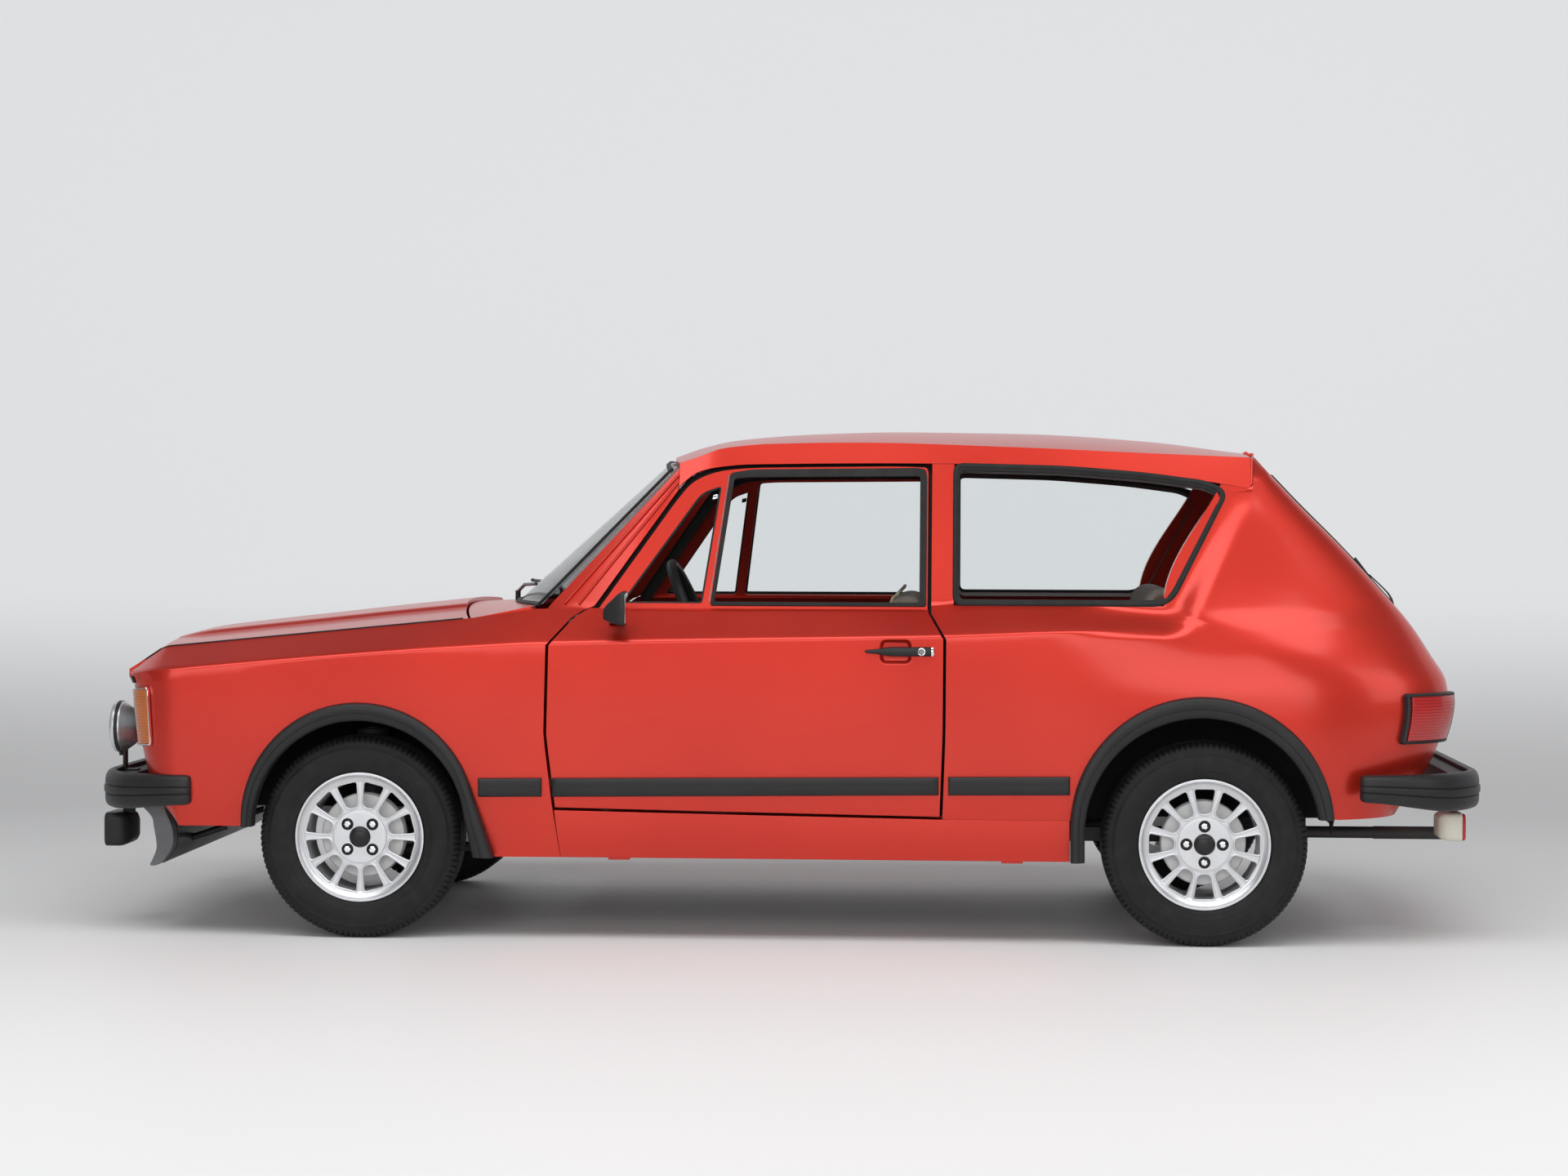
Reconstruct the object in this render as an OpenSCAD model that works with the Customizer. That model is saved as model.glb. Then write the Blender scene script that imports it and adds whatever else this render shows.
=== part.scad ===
// Three-door hatchback concept car, front at -X, left side at -Y, standing on Z = 0.
// All sizes are in millimetres. The origin is on the floor at the middle of the wheelbase.

/* [Wheels and axles] */
// Distance between the front and rear axle lines
wheelbase = 2365; // [2300:5:2430]
// Distance between the tyre centre planes on one axle
track = 1330; // [1300:5:1350]
// Outer radius of the tyre, which is also the axle height
tyre_r = 285; // [275:1:290]
// Section width of the tyre
tyre_w = 155; // [145:1:165]
// Outer radius of the rim flange
rim_r = 182; // [176:1:188]
// Number of slots in the alloy wheel
rim_slots = 12; // [8:1:14]
// Radius of the circle that the wheel bolts stand on
bolt_circle_r = 50; // [46:1:54]

/* [Body] */
// Half width of the body at the shoulder crease
half_width = 780; // [765:1:790]
// Lowest edge of the sills
sill_z = 235; // [215:1:245]
// Height of the window sill line
waist_z = 935; // [925:1:950]
// How far the shoulder chamfer leads in from the crease to the window sill
shoulder_in = 112; // [100:1:120]
// Highest point of the roof
roof_z = 1445; // [1430:1:1470]
// Gap around doors, bonnet and tailgate
shut_gap = 8; // [7:1:10]
// Clearance between fixed pieces that seat on each other
seat_gap = 0.3; // [0.2:0.05:0.6]
// Thickness of the roof, bonnet and tailgate panels
panel_t = 24; // [18:1:30]
// Thickness of the doors and side walls
wall_t = 80; // [60:1:95]
// Thickness of the window glass
glass_t = 5; // [4:0.5:6]

/* [Hidden] */
$fn = 48;
front_x = -wheelbase / 2;
rear_x = wheelbase / 2;
wheel_y = track / 2;
side_lean = 12;
sill_tuck = 23;
sill_crease_z = 385;
tilt = 14.7;
edge_y = half_width - shoulder_in;
tail_y = edge_y - 168;
nose_y = half_width - 140;
// Wheelbase that the outline tables below are drawn for, and the cabin between its two ends
drawn_wheelbase = 2365;
cabin_ends = [-780, 800];
// Place along the car for a drawn x: nose and tail keep to their axles, the cabin between them stretches
grown = (wheelbase - drawn_wheelbase) / 2;
function lx(x) = x < cabin_ends[0] ? x - grown : x > cabin_ends[1] ? x + grown
    : mix(cabin_ends[0] - grown, cabin_ends[1] + grown,
        (x - cabin_ends[0]) / (cabin_ends[1] - cabin_ends[0]));
function along(rows) = [for (r = rows) [lx(r[0]), r[1]]];
function set_back(rows) = [for (r = rows) [r[0], lx(r[1])]];
function mix(a, b, t) = a + (b - a) * t;
roof_back_x = lx(1318);

paint = [0.72, 0.07, 0.06];
black = [0.06, 0.06, 0.065];
cloth = [0.3, 0.18, 0.12];

// Side outline curves: each row is [x, z], read with lookup()
crease_line = along([[-1860, 741], [-1757, 753], [-654, 836], [456, 862], [981, 877], [1300, 860],
    [1500, 800],
    [1880, 733]]);
bonnet_line = along([[-1860, 750], [-1757, 815], [-880, 901], [-690, 930], [-560, waist_z]]);
rail_line = along([[-330, 1235], [-297, 1274], [-240, 1318], [-184, 1331], [-91, 1339], [326, 1343],
    [787, 1336], [1017, 1318], [1201, 1293], [1320, 1272]]);
gutter_line = along([[-330, 1332], [-233, 1364], [-173, 1385], [-30, 1398], [207, 1402], [649, 1390],
    [1017, 1374], [1320, 1362]]);
roof_line = along([[-350, 1366], [-254, 1400], [-155, 1420], [67, 1438], [313, roof_z], [681, roof_z - 4],
    [1047, roof_z - 26], [1320, 1384]]);
// Lower edge of the doors: each row is [x, z]
door_bottom_line = along([[-640, 377], [-120, 368], [460, 359]]);
// Tail outline: each row is [z, x]
tail_line = set_back([[350, 1728], [388, 1752], [526, 1842], [678, 1882], [735, 1873], [806, 1831],
    [895, 1772],
    [1002, 1679], [1104, 1585], [1244, 1445], [1372, 1324]]);
// Nose outline: each row is [z, x]
nose_line = set_back([[312, -1700], [400, -1790], [540, -1822], [700, -1838], [745, -1858],
    [760, -1852]]);
// Door shut lines: each row is [z, x]
door_front_line = set_back([[235, -608], [385, -630], [579, -653], [830, -647], [906, -584],
    [935, -540]]);
door_rear_line = set_back([[235, 448], [351, 448], [587, 456], [852, 457], [922, 414], [1340, 414]]);
// Rear edge of the quarter window and start of the rounded tail: each row is [z, x]
quarter_round_line = set_back([[235, 1420], [700, 1400], [877, 1230], [945, 1092], [1259, 1255],
    [1300, 1276],
    [1400, 1290]]);
// How far the rounded tail lies inside the half width: each row is [z, inset]
tail_side_line = [[235, 35], [385, 13], [600, 4], [700, 8], [800, 25], [900, 58], [1000, 96], [1100, 132],
    [1200, 167], [1272, 195], [1366, 224]];
// Where the flat side starts to fade into the rounded tail, and over what length
tail_fade_x = lx(700);
tail_fade = 560;
// Lower and rear edge of the window behind the door, and the width of the pressed recess behind it
window_base_z = 944;
window_edge = [[lx(484), window_base_z], [lx(1092), window_base_z], [lx(1255), 1259]];
recess_w = 45;

// Wheel arch outlines: centre x, centre z, radius of the opening in the panel, then of the trim's inner edge
front_arch = [front_x + 4, 335, 331, 300];
rear_arch = [rear_x - 10, 335, 362, 323];
arch_x = 0;
arch_z = 1;
arch_r = 2;
arch_inner_r = 3;
arch_inner_drop = 20;
front_tail_angle = 18;

function lean(z, zc) = z < sill_crease_z
    ? side_lean + sill_tuck * (sill_crease_z - z) / (sill_crease_z - sill_z)
    : side_lean * max(0, zc - z) / (zc - sill_crease_z);
function cabin_y(z) = edge_y - (z - waist_z) * tan(tilt);
// Half width of the body side at a height, given the crease height there
function side_y(z, zc) = z <= zc ? half_width - lean(z, zc)
    : z <= waist_z ? mix(half_width, edge_y, (z - zc) / (waist_z - zc))
    : cabin_y(z);

function ease(t) = let (u = min(1, max(0, t))) u * u * (3 - 2 * u);
// Half width of the rounded tail, into which the flat side fades
function outer_half(x, z, zc) = mix(side_y(min(z, zc), zc), half_width - lookup(z, tail_side_line),
    ease((x - tail_fade_x) / tail_fade));
// Distance outside the window behind the door, in side view
function edge_dist(p, a, b) = let (d = b - a, t = min(1, max(0, (p - a) * d / (d * d)))) norm(p - a - t * d);
function window_dist(p) = let (a = window_edge[0], b = window_edge[1], c = window_edge[2])
    p[1] >= b[1] && cross(c - b, p - b) >= 0 ? 0 : p[0] < a[0] ? max(0, b[1] - p[1])
    : min(edge_dist(p, a, b), edge_dist(p, b, c));
// Half width behind the doors: the shoulder chamfer leads round the window as a pressed recess
function tail_half(x, z, zc) =
    let (d = window_dist([x, z]), below = d > 0 ? max(0, window_base_z - z) / d : 0,
        w = mix(recess_w, window_base_z - zc, below))
    mix(cabin_y(max(z, window_base_z)), outer_half(x, z, zc), min(1, d / w));

// Closed plate between an outer and an inner grid of points, without the cells in open
module plate(outer, inner, open = []) {
    ni = len(outer);
    nj = len(outer[0]);
    count = ni * nj;
    function kept(i, j) = i >= 0 && j >= 0 && i < ni - 1 && j < nj - 1
        && len([for (w = open) if (i >= w[0] && i < w[1] && j >= w[2] && j < w[3]) 1]) == 0;
    function at(i, j) = i * nj + j;
    function wall(p, q) = [[q, p, p + count], [q, p + count, q + count]];
    points = concat([for (r = outer) each r], [for (r = inner) each r]);
    faces = [for (i = [0:ni - 2], j = [0:nj - 2]) if (kept(i, j))
        let (a = at(i, j), b = at(i, j + 1), c = at(i + 1, j + 1), d = at(i + 1, j))
        each concat(
            [[a, b, c], [a, c, d], [a + count, c + count, b + count], [a + count, d + count, c + count]],
            kept(i - 1, j) ? [] : wall(a, b),
            kept(i, j + 1) ? [] : wall(b, c),
            kept(i + 1, j) ? [] : wall(c, d),
            kept(i, j - 1) ? [] : wall(d, a))];
    polyhedron(points, faces, convexity = 10);
}

module mirrored() {
    children();
    mirror([0, 1, 0]) children();
}

// Wheel arches

function front_tail_x() = front_arch[arch_x] + front_arch[arch_r] * cos(front_tail_angle);
function front_tail_z() = front_arch[arch_z] + front_arch[arch_r] * sin(front_tail_angle);
function front_tail_end() = front_tail_x() + (front_tail_z() - sill_z) * tan(front_tail_angle);

// Outline that the panel is cut to, grown by more
module front_arch_outline(more = 0) {
    r = front_arch[arch_r] + more;
    translate([front_arch[arch_x], front_arch[arch_z]]) circle(r, $fn = 96);
    slip = more / cos(front_tail_angle);
    polygon([[front_arch[arch_x] - r, front_arch[arch_z]], [front_arch[arch_x] - r, sill_z - 60],
        [front_tail_end() + slip + 60 * tan(front_tail_angle), sill_z - 60],
        [front_arch[arch_x] + r * cos(front_tail_angle),
            front_arch[arch_z] + r * sin(front_tail_angle)]]);
}

module rear_arch_outline(more = 0) {
    r = rear_arch[arch_r] + more;
    translate([rear_arch[arch_x], rear_arch[arch_z]]) circle(r, $fn = 96);
    translate([rear_arch[arch_x] - r, sill_z - 60]) square([2 * r, rear_arch[arch_z] - sill_z + 60]);
}

module arch_hollow(arch) {
    translate([arch[arch_x], arch[arch_z] - arch_inner_drop]) circle(arch[arch_inner_r], $fn = 96);
    translate([arch[arch_x] - arch[arch_inner_r], sill_z - 70])
        square([2 * arch[arch_inner_r], arch[arch_z] - arch_inner_drop - sill_z + 70]);
}

// Stands a side-view outline up on the left side, from y0 inwards to y1
module side_extrude(y0, y1) {
    translate([0, -y1, 0]) rotate([90, 0, 0]) linear_extrude(y0 - y1) children();
}

trim_out = 16;
trim_in = 44;

module arch_trims() {
    color([0.05, 0.05, 0.055]) mirrored() {
        side_extrude(half_width + trim_out, half_width - trim_in) difference() {
            front_arch_outline(-seat_gap);
            arch_hollow(front_arch);
            translate([front_arch[arch_x] - 600, -100]) square([600, 416]);
            translate([front_arch[arch_x], -100]) square([800, sill_z + 100]);
            polygon([[front_arch[arch_x] + arch_inner_w(), 0],
                [front_arch[arch_x] + arch_inner_w(), front_arch[arch_z]],
                [front_tail_end() - 48, sill_z - 40], [front_tail_end() - 48, 0]]);
        }
        side_extrude(half_width + trim_out, half_width - trim_in) difference() {
            rear_arch_outline(-seat_gap);
            arch_hollow(rear_arch);
            translate([rear_arch[arch_x], -100]) square([600, 460]);
            translate([rear_arch[arch_x] - 600, -100]) square([600, sill_z + 100]);
        }
    }
}
function arch_inner_w() = front_arch[arch_inner_r] - 1;

// Body sides

wing_corner_x = lx(-1690);
wing_low_z = 316;
wing_cols = 5;
arch_steps = 16;
// Radius of the corners of the panel's arch edge, whose flats stay clear of the trim
function arch_chord(arch) = (arch[arch_r] + seat_gap) / cos(5.2);
function arch_top(arch, x) = arch[arch_z] + sqrt(max(0, pow(arch_chord(arch),
    2) - pow(x - arch[arch_x], 2)));
wing_rows = [0, 0.26, 0.63, 1, 1.5, 2];

// Left wing: x runs along the side, t turns the corner from the side to the nose, v is the row
function wing_bottom(x) = x < front_arch[arch_x] - arch_chord(front_arch) + 0.5 ? wing_low_z
    : x < front_tail_end() ? arch_top(front_arch, x)
    : sill_z;
function wing_stations() = let (a = front_arch)
    concat([wing_corner_x, lx(-1600), a[arch_x] - arch_chord(a)],
        [for (k = [0:arch_steps]) a[arch_x] + arch_chord(a) * cos(mix(176, front_tail_angle,
            k / arch_steps))],
        [front_tail_end() + 1, lx(-700)]);

function wing_grid(inset) = concat(
    [for (k = [wing_cols:-1:1]) let (t = k / wing_cols, x = mix(wing_corner_x, bonnet_front_x,
        sin(90 * t)))
        [for (v = wing_rows) wing_corner(x, t, v, inset)]],
    [for (x = wing_stations()) [for (v = wing_rows) wing_side(x, v, inset)]],
    [[for (v = wing_rows) wing_end(v, inset)]]);
function wing_z(zb, x, v) = v <= 1 ? mix(zb, lookup(x, crease_line), v)
    : mix(lookup(x, crease_line), lookup(x, bonnet_line), v - 1);
// Half width at row v; the inner skin meets the bonnet edge from below
function wing_y(z, x, v, inset) = v <= 1 ? side_y(z, lookup(x, crease_line)) - inset
    : mix(half_width, edge_y, v - 1) - inset * (2 - v);
function wing_drop(v, inset) = v > 1 ? inset * 0.6 * (v - 1) : 0;
function wing_side(x, v, inset) = let (z = wing_z(wing_bottom(x), x, v))
    [x, -wing_y(z, x, v, inset), z - wing_drop(v, inset)];
function wing_corner(x, t, v, inset) = let (z = wing_z(wing_low_z, x, v))
    [mix(wing_corner_x, lookup(z, nose_line) + (v > 1 ? inset * (2 - v) : inset), sin(90 * t)),
        -mix(nose_y, wing_y(z, x, v, inset), cos(90 * t)), z - wing_drop(v, inset)];
function wing_end(v, inset) = let (x0 = lx(-648), zc = lookup(x0, crease_line),
    z = (v <= 1 ? mix(sill_z, zc, v) : mix(zc, wing_top_z, v - 1)) - wing_drop(v, inset))
    [lookup(z, door_front_line) - shut_gap / 2, -wing_y(z, x0, v, inset), z];
wing_top_z = 931;

wing_in = 42;
module front_wings() { color(paint) mirrored() plate(wing_grid(0), wing_grid(wing_in)); }

// Rear quarter: B pillar, side below the window, rounded tail corner and C pillar
quarter_rows = [0, 0.09, 0.5, 1, 1.5, 2, 2.25, 2.5, 2.75, 3];
quarter_arch_angles = [43, 34, 25, 16, 8, 3.8];
quarter_turns = [0.29, 0.38, 0.5, 0.62, 0.74, 0.86, 1];
// Columns of the rounded tail: share of the turn, then height of the lower edge
function quarter_round() = concat([for (f = quarter_arch_angles) quarter_arch_column(f)],
    [for (t = quarter_turns) [t, quarter_bottom_z + 6]]);
function quarter_arch_column(f) = let (z = rear_arch[arch_z] + arch_chord(rear_arch) * sin(f),
    x = rear_arch[arch_x] + arch_chord(rear_arch) * cos(f), xa = lookup(z, quarter_round_line))
    [asin((x - xa) / (lookup(z, tail_line) - xa)) / 90, z];
quarter_front_x = lx(464);
quarter_window_x = window_edge[0][0];
rail_gap = 2.6;
quarter_bottom_z = 352;
function quarter_stations() = let (a = rear_arch)
    concat([quarter_front_x, quarter_window_x, lx(640), a[arch_x] - arch_chord(a)],
        [for (k = [0:arch_steps - 4]) a[arch_x] + arch_chord(a) * cos(mix(176, 52,
            k / (arch_steps - 4)))]);
function quarter_bottom(x) = x < rear_arch[arch_x] - arch_chord(rear_arch) + 0.5 ? quarter_bottom_z
    : max(quarter_bottom_z + 6, arch_top(rear_arch, x));
function quarter_base_x() = lookup(600, quarter_round_line);
function quarter_z(zb, x, v) =
    let (zc = lookup(x, crease_line), zt = lookup(x, rail_line) - rail_gap)
    v <= 1 ? mix(zb, zc, v) : v <= 2 ? mix(zc, window_base_z, v - 1) : mix(window_base_z, zt, v - 2);
function quarter_side(x, v, inset) =
    let (s = (x - quarter_window_x) / (quarter_base_x() - quarter_window_x),
        z = quarter_z(quarter_bottom(x), x, v),
        xs = x == quarter_front_x ? lookup(z, door_rear_line) + shut_gap
            : s <= 0 || v <= 1 ? x : mix(quarter_window_x, lookup(z, quarter_round_line), s),
        zz = v > 2 ? mix(window_base_z, lookup(xs, rail_line) - rail_gap, v - 2) : z)
    [xs, -(tail_half(xs, zz, lookup(x, crease_line)) - inset), zz];
// Upper rear corner of the quarter, behind the roof
corner_low = [roof_back_x + 3, lookup(roof_back_x, rail_line) - rail_gap - 1];
corner_top = [roof_back_x + 12, 1366];
function quarter_turn(c, v, inset) =
    let (t = c[0], x0 = quarter_base_x(), xb = mix(x0, lx(1842), sin(90 * t)),
        zt = mix(corner_low[1], corner_top[1], max(0, t - 0.1) / 0.9), zc = lookup(xb, crease_line),
        z = v <= 1 ? mix(c[1], zc, v) : v <= 2 ? mix(zc, window_base_z, v - 1)
            : mix(window_base_z, zt, v - 2),
        xa = lookup(z, quarter_round_line), xt = lookup(z, tail_line),
        x = v == 3 ? mix(corner_low[0], corner_top[0], t) : mix(xa, xt - (t < 0.25 ? 0
            : inset), sin(90 * t)))
    [x, -mix(tail_y, tail_half(x, z, lookup(x0, crease_line)) - inset, cos(90 * t)), z];
function quarter_grid(inset) = concat(
    [for (x = quarter_stations()) [for (v = quarter_rows) quarter_side(x, v, inset)]],
    [for (c = quarter_round()) [for (v = quarter_rows) quarter_turn(c, v, inset)]]);

quarter_in = 45;
module rear_quarters() {
    window = [1, len(quarter_stations()) - 1, 5, 9];
    color(paint) mirrored() plate(quarter_grid(0), quarter_grid(quarter_in), [window]);
}

// Roof with the side rails above the doors
roof_gutter_y = edge_y - 120;
roof_steps = [0, 0.04, 0.09, 0.16, 0.3, 0.45, 0.62, 0.8, 1];
roof_across = [for (u = [0.82, 0.46, 0, -0.46, -0.82]) u * roof_gutter_y];
roof_front = -345;
roof_front_bow = 48;
function roof_front_x(y) = lx(roof_front) + roof_front_bow * pow(y / roof_gutter_y, 2);
function roof_at(s, y) = mix(roof_front_x(y), roof_back_x, s);
function roof_skin(x, y, drop) =
    [x, y, mix(lookup(x, gutter_line), lookup(x, roof_line), 1 - pow(y / roof_gutter_y, 2)) - drop];
function roof_rail(x, inset, side) = let (z = lookup(x, rail_line)) [x, side * (cabin_y(z) - inset), z];
function roof_row(s, t) = let (xe = roof_at(s, roof_gutter_y)) concat(
    [roof_rail(xe, t, -1), [xe, -(roof_gutter_y - t), lookup(xe, gutter_line) - t]],
    [for (k = [4:-1:0]) roof_skin(roof_at(s, roof_across[k]), roof_across[k], t)],
    [[xe, roof_gutter_y - t, lookup(xe, gutter_line) - t], roof_rail(xe, t, 1)]);
module roof() {
    color(paint) plate([for (s = roof_steps) roof_row(s, 0)],
        [for (s = roof_steps) roof_row(s, panel_t)]);
}

// Bonnet
bonnet_y = edge_y - shut_gap;
bonnet_front_x = lx(-1858);
bonnet_back_x = lx(-885);
bonnet_bow = 42;
bonnet_back_bow = 75;
bonnet_bulge = 12;
// Along the bonnet: share of the length, crown at the middle
bonnet_stations = [[0, 8], [0.05, 15], [0.104, 20], [0.3, 25], [0.55, 28], [0.8, 31], [1, 32]];
bonnet_across = [-1, -0.8, -0.62, -0.52, 0, 0.52, 0.62, 0.8, 1];
function bonnet_round(u) = 1 - u * u;
function bonnet_x(s, u) = mix(bonnet_front_x - bonnet_bow * bonnet_round(u),
    bonnet_back_x - bonnet_back_bow * bonnet_round(u), s);
bonnet_share = 0;
bonnet_crown = 1;
function bonnet_z(row, u) = lookup(mix(bonnet_front_x, bonnet_back_x, row[bonnet_share]), bonnet_line)
    + row[bonnet_crown] * bonnet_round(u) + (abs(u) < 0.55 && row[bonnet_share] > 0.08 ? bonnet_bulge
        : 0);
function bonnet_grid(drop) = [for (row = bonnet_stations)
    [for (u = bonnet_across) [bonnet_x(row[bonnet_share], u), u * bonnet_y, bonnet_z(row, u) - drop]]];
module bonnet() { color(paint) plate(bonnet_grid(0), bonnet_grid(panel_t)); }

// Windscreen, with the cowl panel below it and the pillars beside it
screen_y = edge_y - 68;
screen_steps = 8;
screen_narrow = 0.9;
screen_base = [lx(-825), 937];
screen_top = [lx(-360), 1354];
// How far the sides of the screen lie behind its middle
screen_base_bow = lx(-690) - screen_base[0];
screen_top_bow = lx(-318) - screen_top[0];
screen_rows = [0, 0.33, 0.67, 1];
screen_top_drop = 30;
function screen_point(u, t, deep) = let (c = u * u)
    [mix(screen_base[0] + screen_base_bow * c, screen_top[0] + screen_top_bow * c, t) + 0.7 * deep,
        u * screen_y * mix(1, screen_narrow, t),
        mix(screen_base[1], screen_top[1] - screen_top_drop * c, t) - 0.7 * deep];
function screen_grid(deep) = [for (k = [0:screen_steps])
    [for (t = screen_rows) screen_point(1 - 2 * k / screen_steps, t, deep)]];
module windscreen() { color([0.55, 0.62, 0.62, 0.6]) plate(screen_grid(0), screen_grid(glass_t)); }

cowl_t = 18;
cowl_across = [-1, -0.75, -0.5, -0.25, 0, 0.25, 0.5, 0.75, 1];
cowl_back_limit = lx(-704);
cowl_rows = [0, 0.5, 1];
cowl_crown = 32;
function cowl_back(u) = min(cowl_back_limit,
    screen_base[0] + screen_base_bow * pow(u * bonnet_y / screen_y, 2) - 1);
function cowl_front_z(u) = lookup(bonnet_back_x, bonnet_line) + cowl_crown * bonnet_round(u);
function cowl_row(t, drop) = [for (u = cowl_across) [mix(bonnet_x(1, u) + shut_gap, cowl_back(u), t),
    u * (edge_y - 0.5), mix(cowl_front_z(u), screen_base[1] - 1, t) - drop]];
// Windscreen pillar from the cowl to the roof: each row is [x, in from the window edge, z]
pillar_front = [[-676, 52, 916], [-660, 55, 938], [-298, 114, 1328]];
pillar_back = [[-582, 0.5, 916], [-526, 4, 938], [-298, 94, 1266]];
pillar_front_in = [[-650, 80, 916], [-634, 83, 938], [-298, 142, 1318]];
pillar_back_in = [[-582, 48, 916], [-530, 50, 938], [-298, 136, 1266]];
function pillar(rows) = [for (r = rows) [lx(r[0]), -(edge_y - r[1]), r[2]]];
module windscreen_frame() {
    color(paint) {
        plate([for (t = cowl_rows) cowl_row(t, 0)], [for (t = cowl_rows) cowl_row(t, cowl_t)]);
        mirrored() plate([pillar(pillar_front), pillar(pillar_back)],
            [pillar(pillar_front_in), pillar(pillar_back_in)]);
    }
}

// Sills with jacking pads
floor_y = half_width - 150;
pad_size = [60, 40, 8];
pad_places = [lx(-450), lx(650)];
pad_in = 20;
sill_front_slant = 17;
sill_ends = [lookup(sill_z, door_front_line) - shut_gap / 2 + 0.5,
    rear_arch[arch_x] - rear_arch[arch_r] - 1.5];
function sill_top(x) = x > quarter_front_x ? quarter_bottom_z - seat_gap
    : lookup(x, door_bottom_line) - shut_gap;
function sill_column(x, top_x, inner) = let (zt = sill_top(x))
    [[x, -(inner ? floor_y + seat_gap : side_y(sill_z, waist_z)), sill_z],
        [top_x, -(inner ? floor_y + seat_gap : side_y(zt, waist_z)), zt]];
sill_places = [lx(-120), quarter_front_x - 6, quarter_front_x + 6, sill_ends[1]];
function sill_grid(inner) = concat([sill_column(sill_ends[0], sill_ends[0] - sill_front_slant, inner)],
    [for (x = sill_places) sill_column(x, x, inner)]);
module sill() {
    plate(sill_grid(false), sill_grid(true));
    for (x = pad_places) translate([x - pad_size[0] / 2, -side_y(sill_z, waist_z) + pad_in,
        sill_z - pad_size[2]])
        cube([pad_size[0], pad_size[1], pad_size[2] + 5]);
}
module sills() { color(paint) mirrored() sill(); }

// Floor pan: bulkhead, cabin floor with tunnel, raised rear floor
floor_t = 20;
floor_z = 258;
bulkhead_x = lx(-690);
bulkhead_top_z = 885;
toe_board = [lx(-580), 430];
rear_floor_z = 430;
kick_x = lx(640);
kick_slope = 70;
house_gap = 47.5;
// The rear floor lies between the wheels and between the body sides
rear_floor_y = min(half_width - 240, wheel_y - tyre_w / 2 - house_gap);
rear_floor_x = lx(1690);
rear_floor_lap = 50;
tunnel_w = 180;
tunnel_h = 110;
// Underside of the cabin floor: each row is [x, z]
floor_under = [[bulkhead_x, bulkhead_top_z], [bulkhead_x, toe_board[1]], [toe_board[0], floor_z],
    [kick_x, floor_z],
    [kick_x + kick_slope, rear_floor_z], [kick_x + kick_slope + rear_floor_lap, rear_floor_z]];
floor_over = [[kick_x + kick_slope + rear_floor_lap, rear_floor_z + floor_t],
    [kick_x + kick_slope - 10, rear_floor_z + floor_t],
    [kick_x - 10, floor_z + floor_t], [toe_board[0] + 10, floor_z + floor_t],
    [bulkhead_x + floor_t, toe_board[1] + 6], [bulkhead_x + floor_t, bulkhead_top_z]];
module floor_pan() {
    rear_start = kick_x + kick_slope + rear_floor_lap - floor_t;
    tunnel_l = kick_x - bulkhead_x;
    color([0.1, 0.1, 0.11]) difference() {
        union() {
            translate([0, floor_y, 0]) rotate([90, 0, 0])
                linear_extrude(2 * floor_y) polygon(concat(floor_under, floor_over));
            translate([rear_start, -rear_floor_y, rear_floor_z])
                cube([rear_floor_x - rear_start, 2 * rear_floor_y, floor_t]);
            translate([bulkhead_x + 5, -tunnel_w / 2 - floor_t, floor_z])
                cube([tunnel_l, tunnel_w + 2 * floor_t, tunnel_h + floor_t]);
        }
        translate([bulkhead_x - 50, -tunnel_w / 2, floor_z - 50])
            cube([tunnel_l + 200, tunnel_w, tunnel_h + 50]);
    }
}

// Wheel houses above the four wheels, closed towards the middle of the car
house_t = 5;
front_house_r = 366;
rear_house_r = 350;
front_house_y = half_width - 350;
house_out_y = half_width - side_lean - 6 - quarter_in - seat_gap;
rear_house_out_y = half_width - 86;
house_low = 60;
module wheel_house(x, r, y0, y1 = house_out_y) {
    difference() {
        translate([x, -y1, tyre_r]) rotate([-90, 0, 0]) cylinder(r = r + house_t, h = y1 - y0, $fn = 96);
        translate([x, -y1 - 1, tyre_r]) rotate([-90, 0, 0])
            cylinder(r = r, h = y1 - y0 + 1 - house_t, $fn = 96);
        translate([x - r - house_t - 1, -y1 - 1, tyre_r - r - house_t - 1])
            cube([2 * (r + house_t) + 2, y1 - y0 + 2, r + house_t + 1 + house_low]);
    }
}
module wheel_houses() {
    color([0.09, 0.09, 0.1]) mirrored() {
        wheel_house(front_x, front_house_r, front_house_y);
        wheel_house(rear_x, rear_house_r, rear_floor_y + seat_gap, rear_house_out_y);
    }
}

// Nose: apron, grille, lamps
nose_bow = 42;
apron_bottom_z = 362;
grille_bottom_z = 556;
grille_top_z = 738;
grille_y = half_width - 355;
grille_t = 8;
grille_back = 92;
apron_rows = [apron_bottom_z, 400, 470, grille_bottom_z - 4];
apron_t = 30;
slats = 7;
slat_h = 7;
slat_deep = 22;
function nose_x(y, z) = lookup(z, nose_line) - nose_bow * (1 - pow(y / nose_y, 2));
nose_cols = 8;
function nose_grid(y0, zs, deep) = [for (k = [0:nose_cols]) let (y = mix(y0, -y0, k / nose_cols))
    [for (z = zs) [nose_x(y, z) + deep, y, z]]];
function post_grid(y, zs, deep) = [for (d = [grille_t, 0]) [for (z = zs) [nose_x(y, z) + deep, y + d,
    z]]];
nose_in_y = nose_y - seat_gap;
module front_panel() {
    color(paint) plate(nose_grid(nose_in_y, apron_rows, 0), nose_grid(nose_in_y, apron_rows, apron_t));
}
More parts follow.
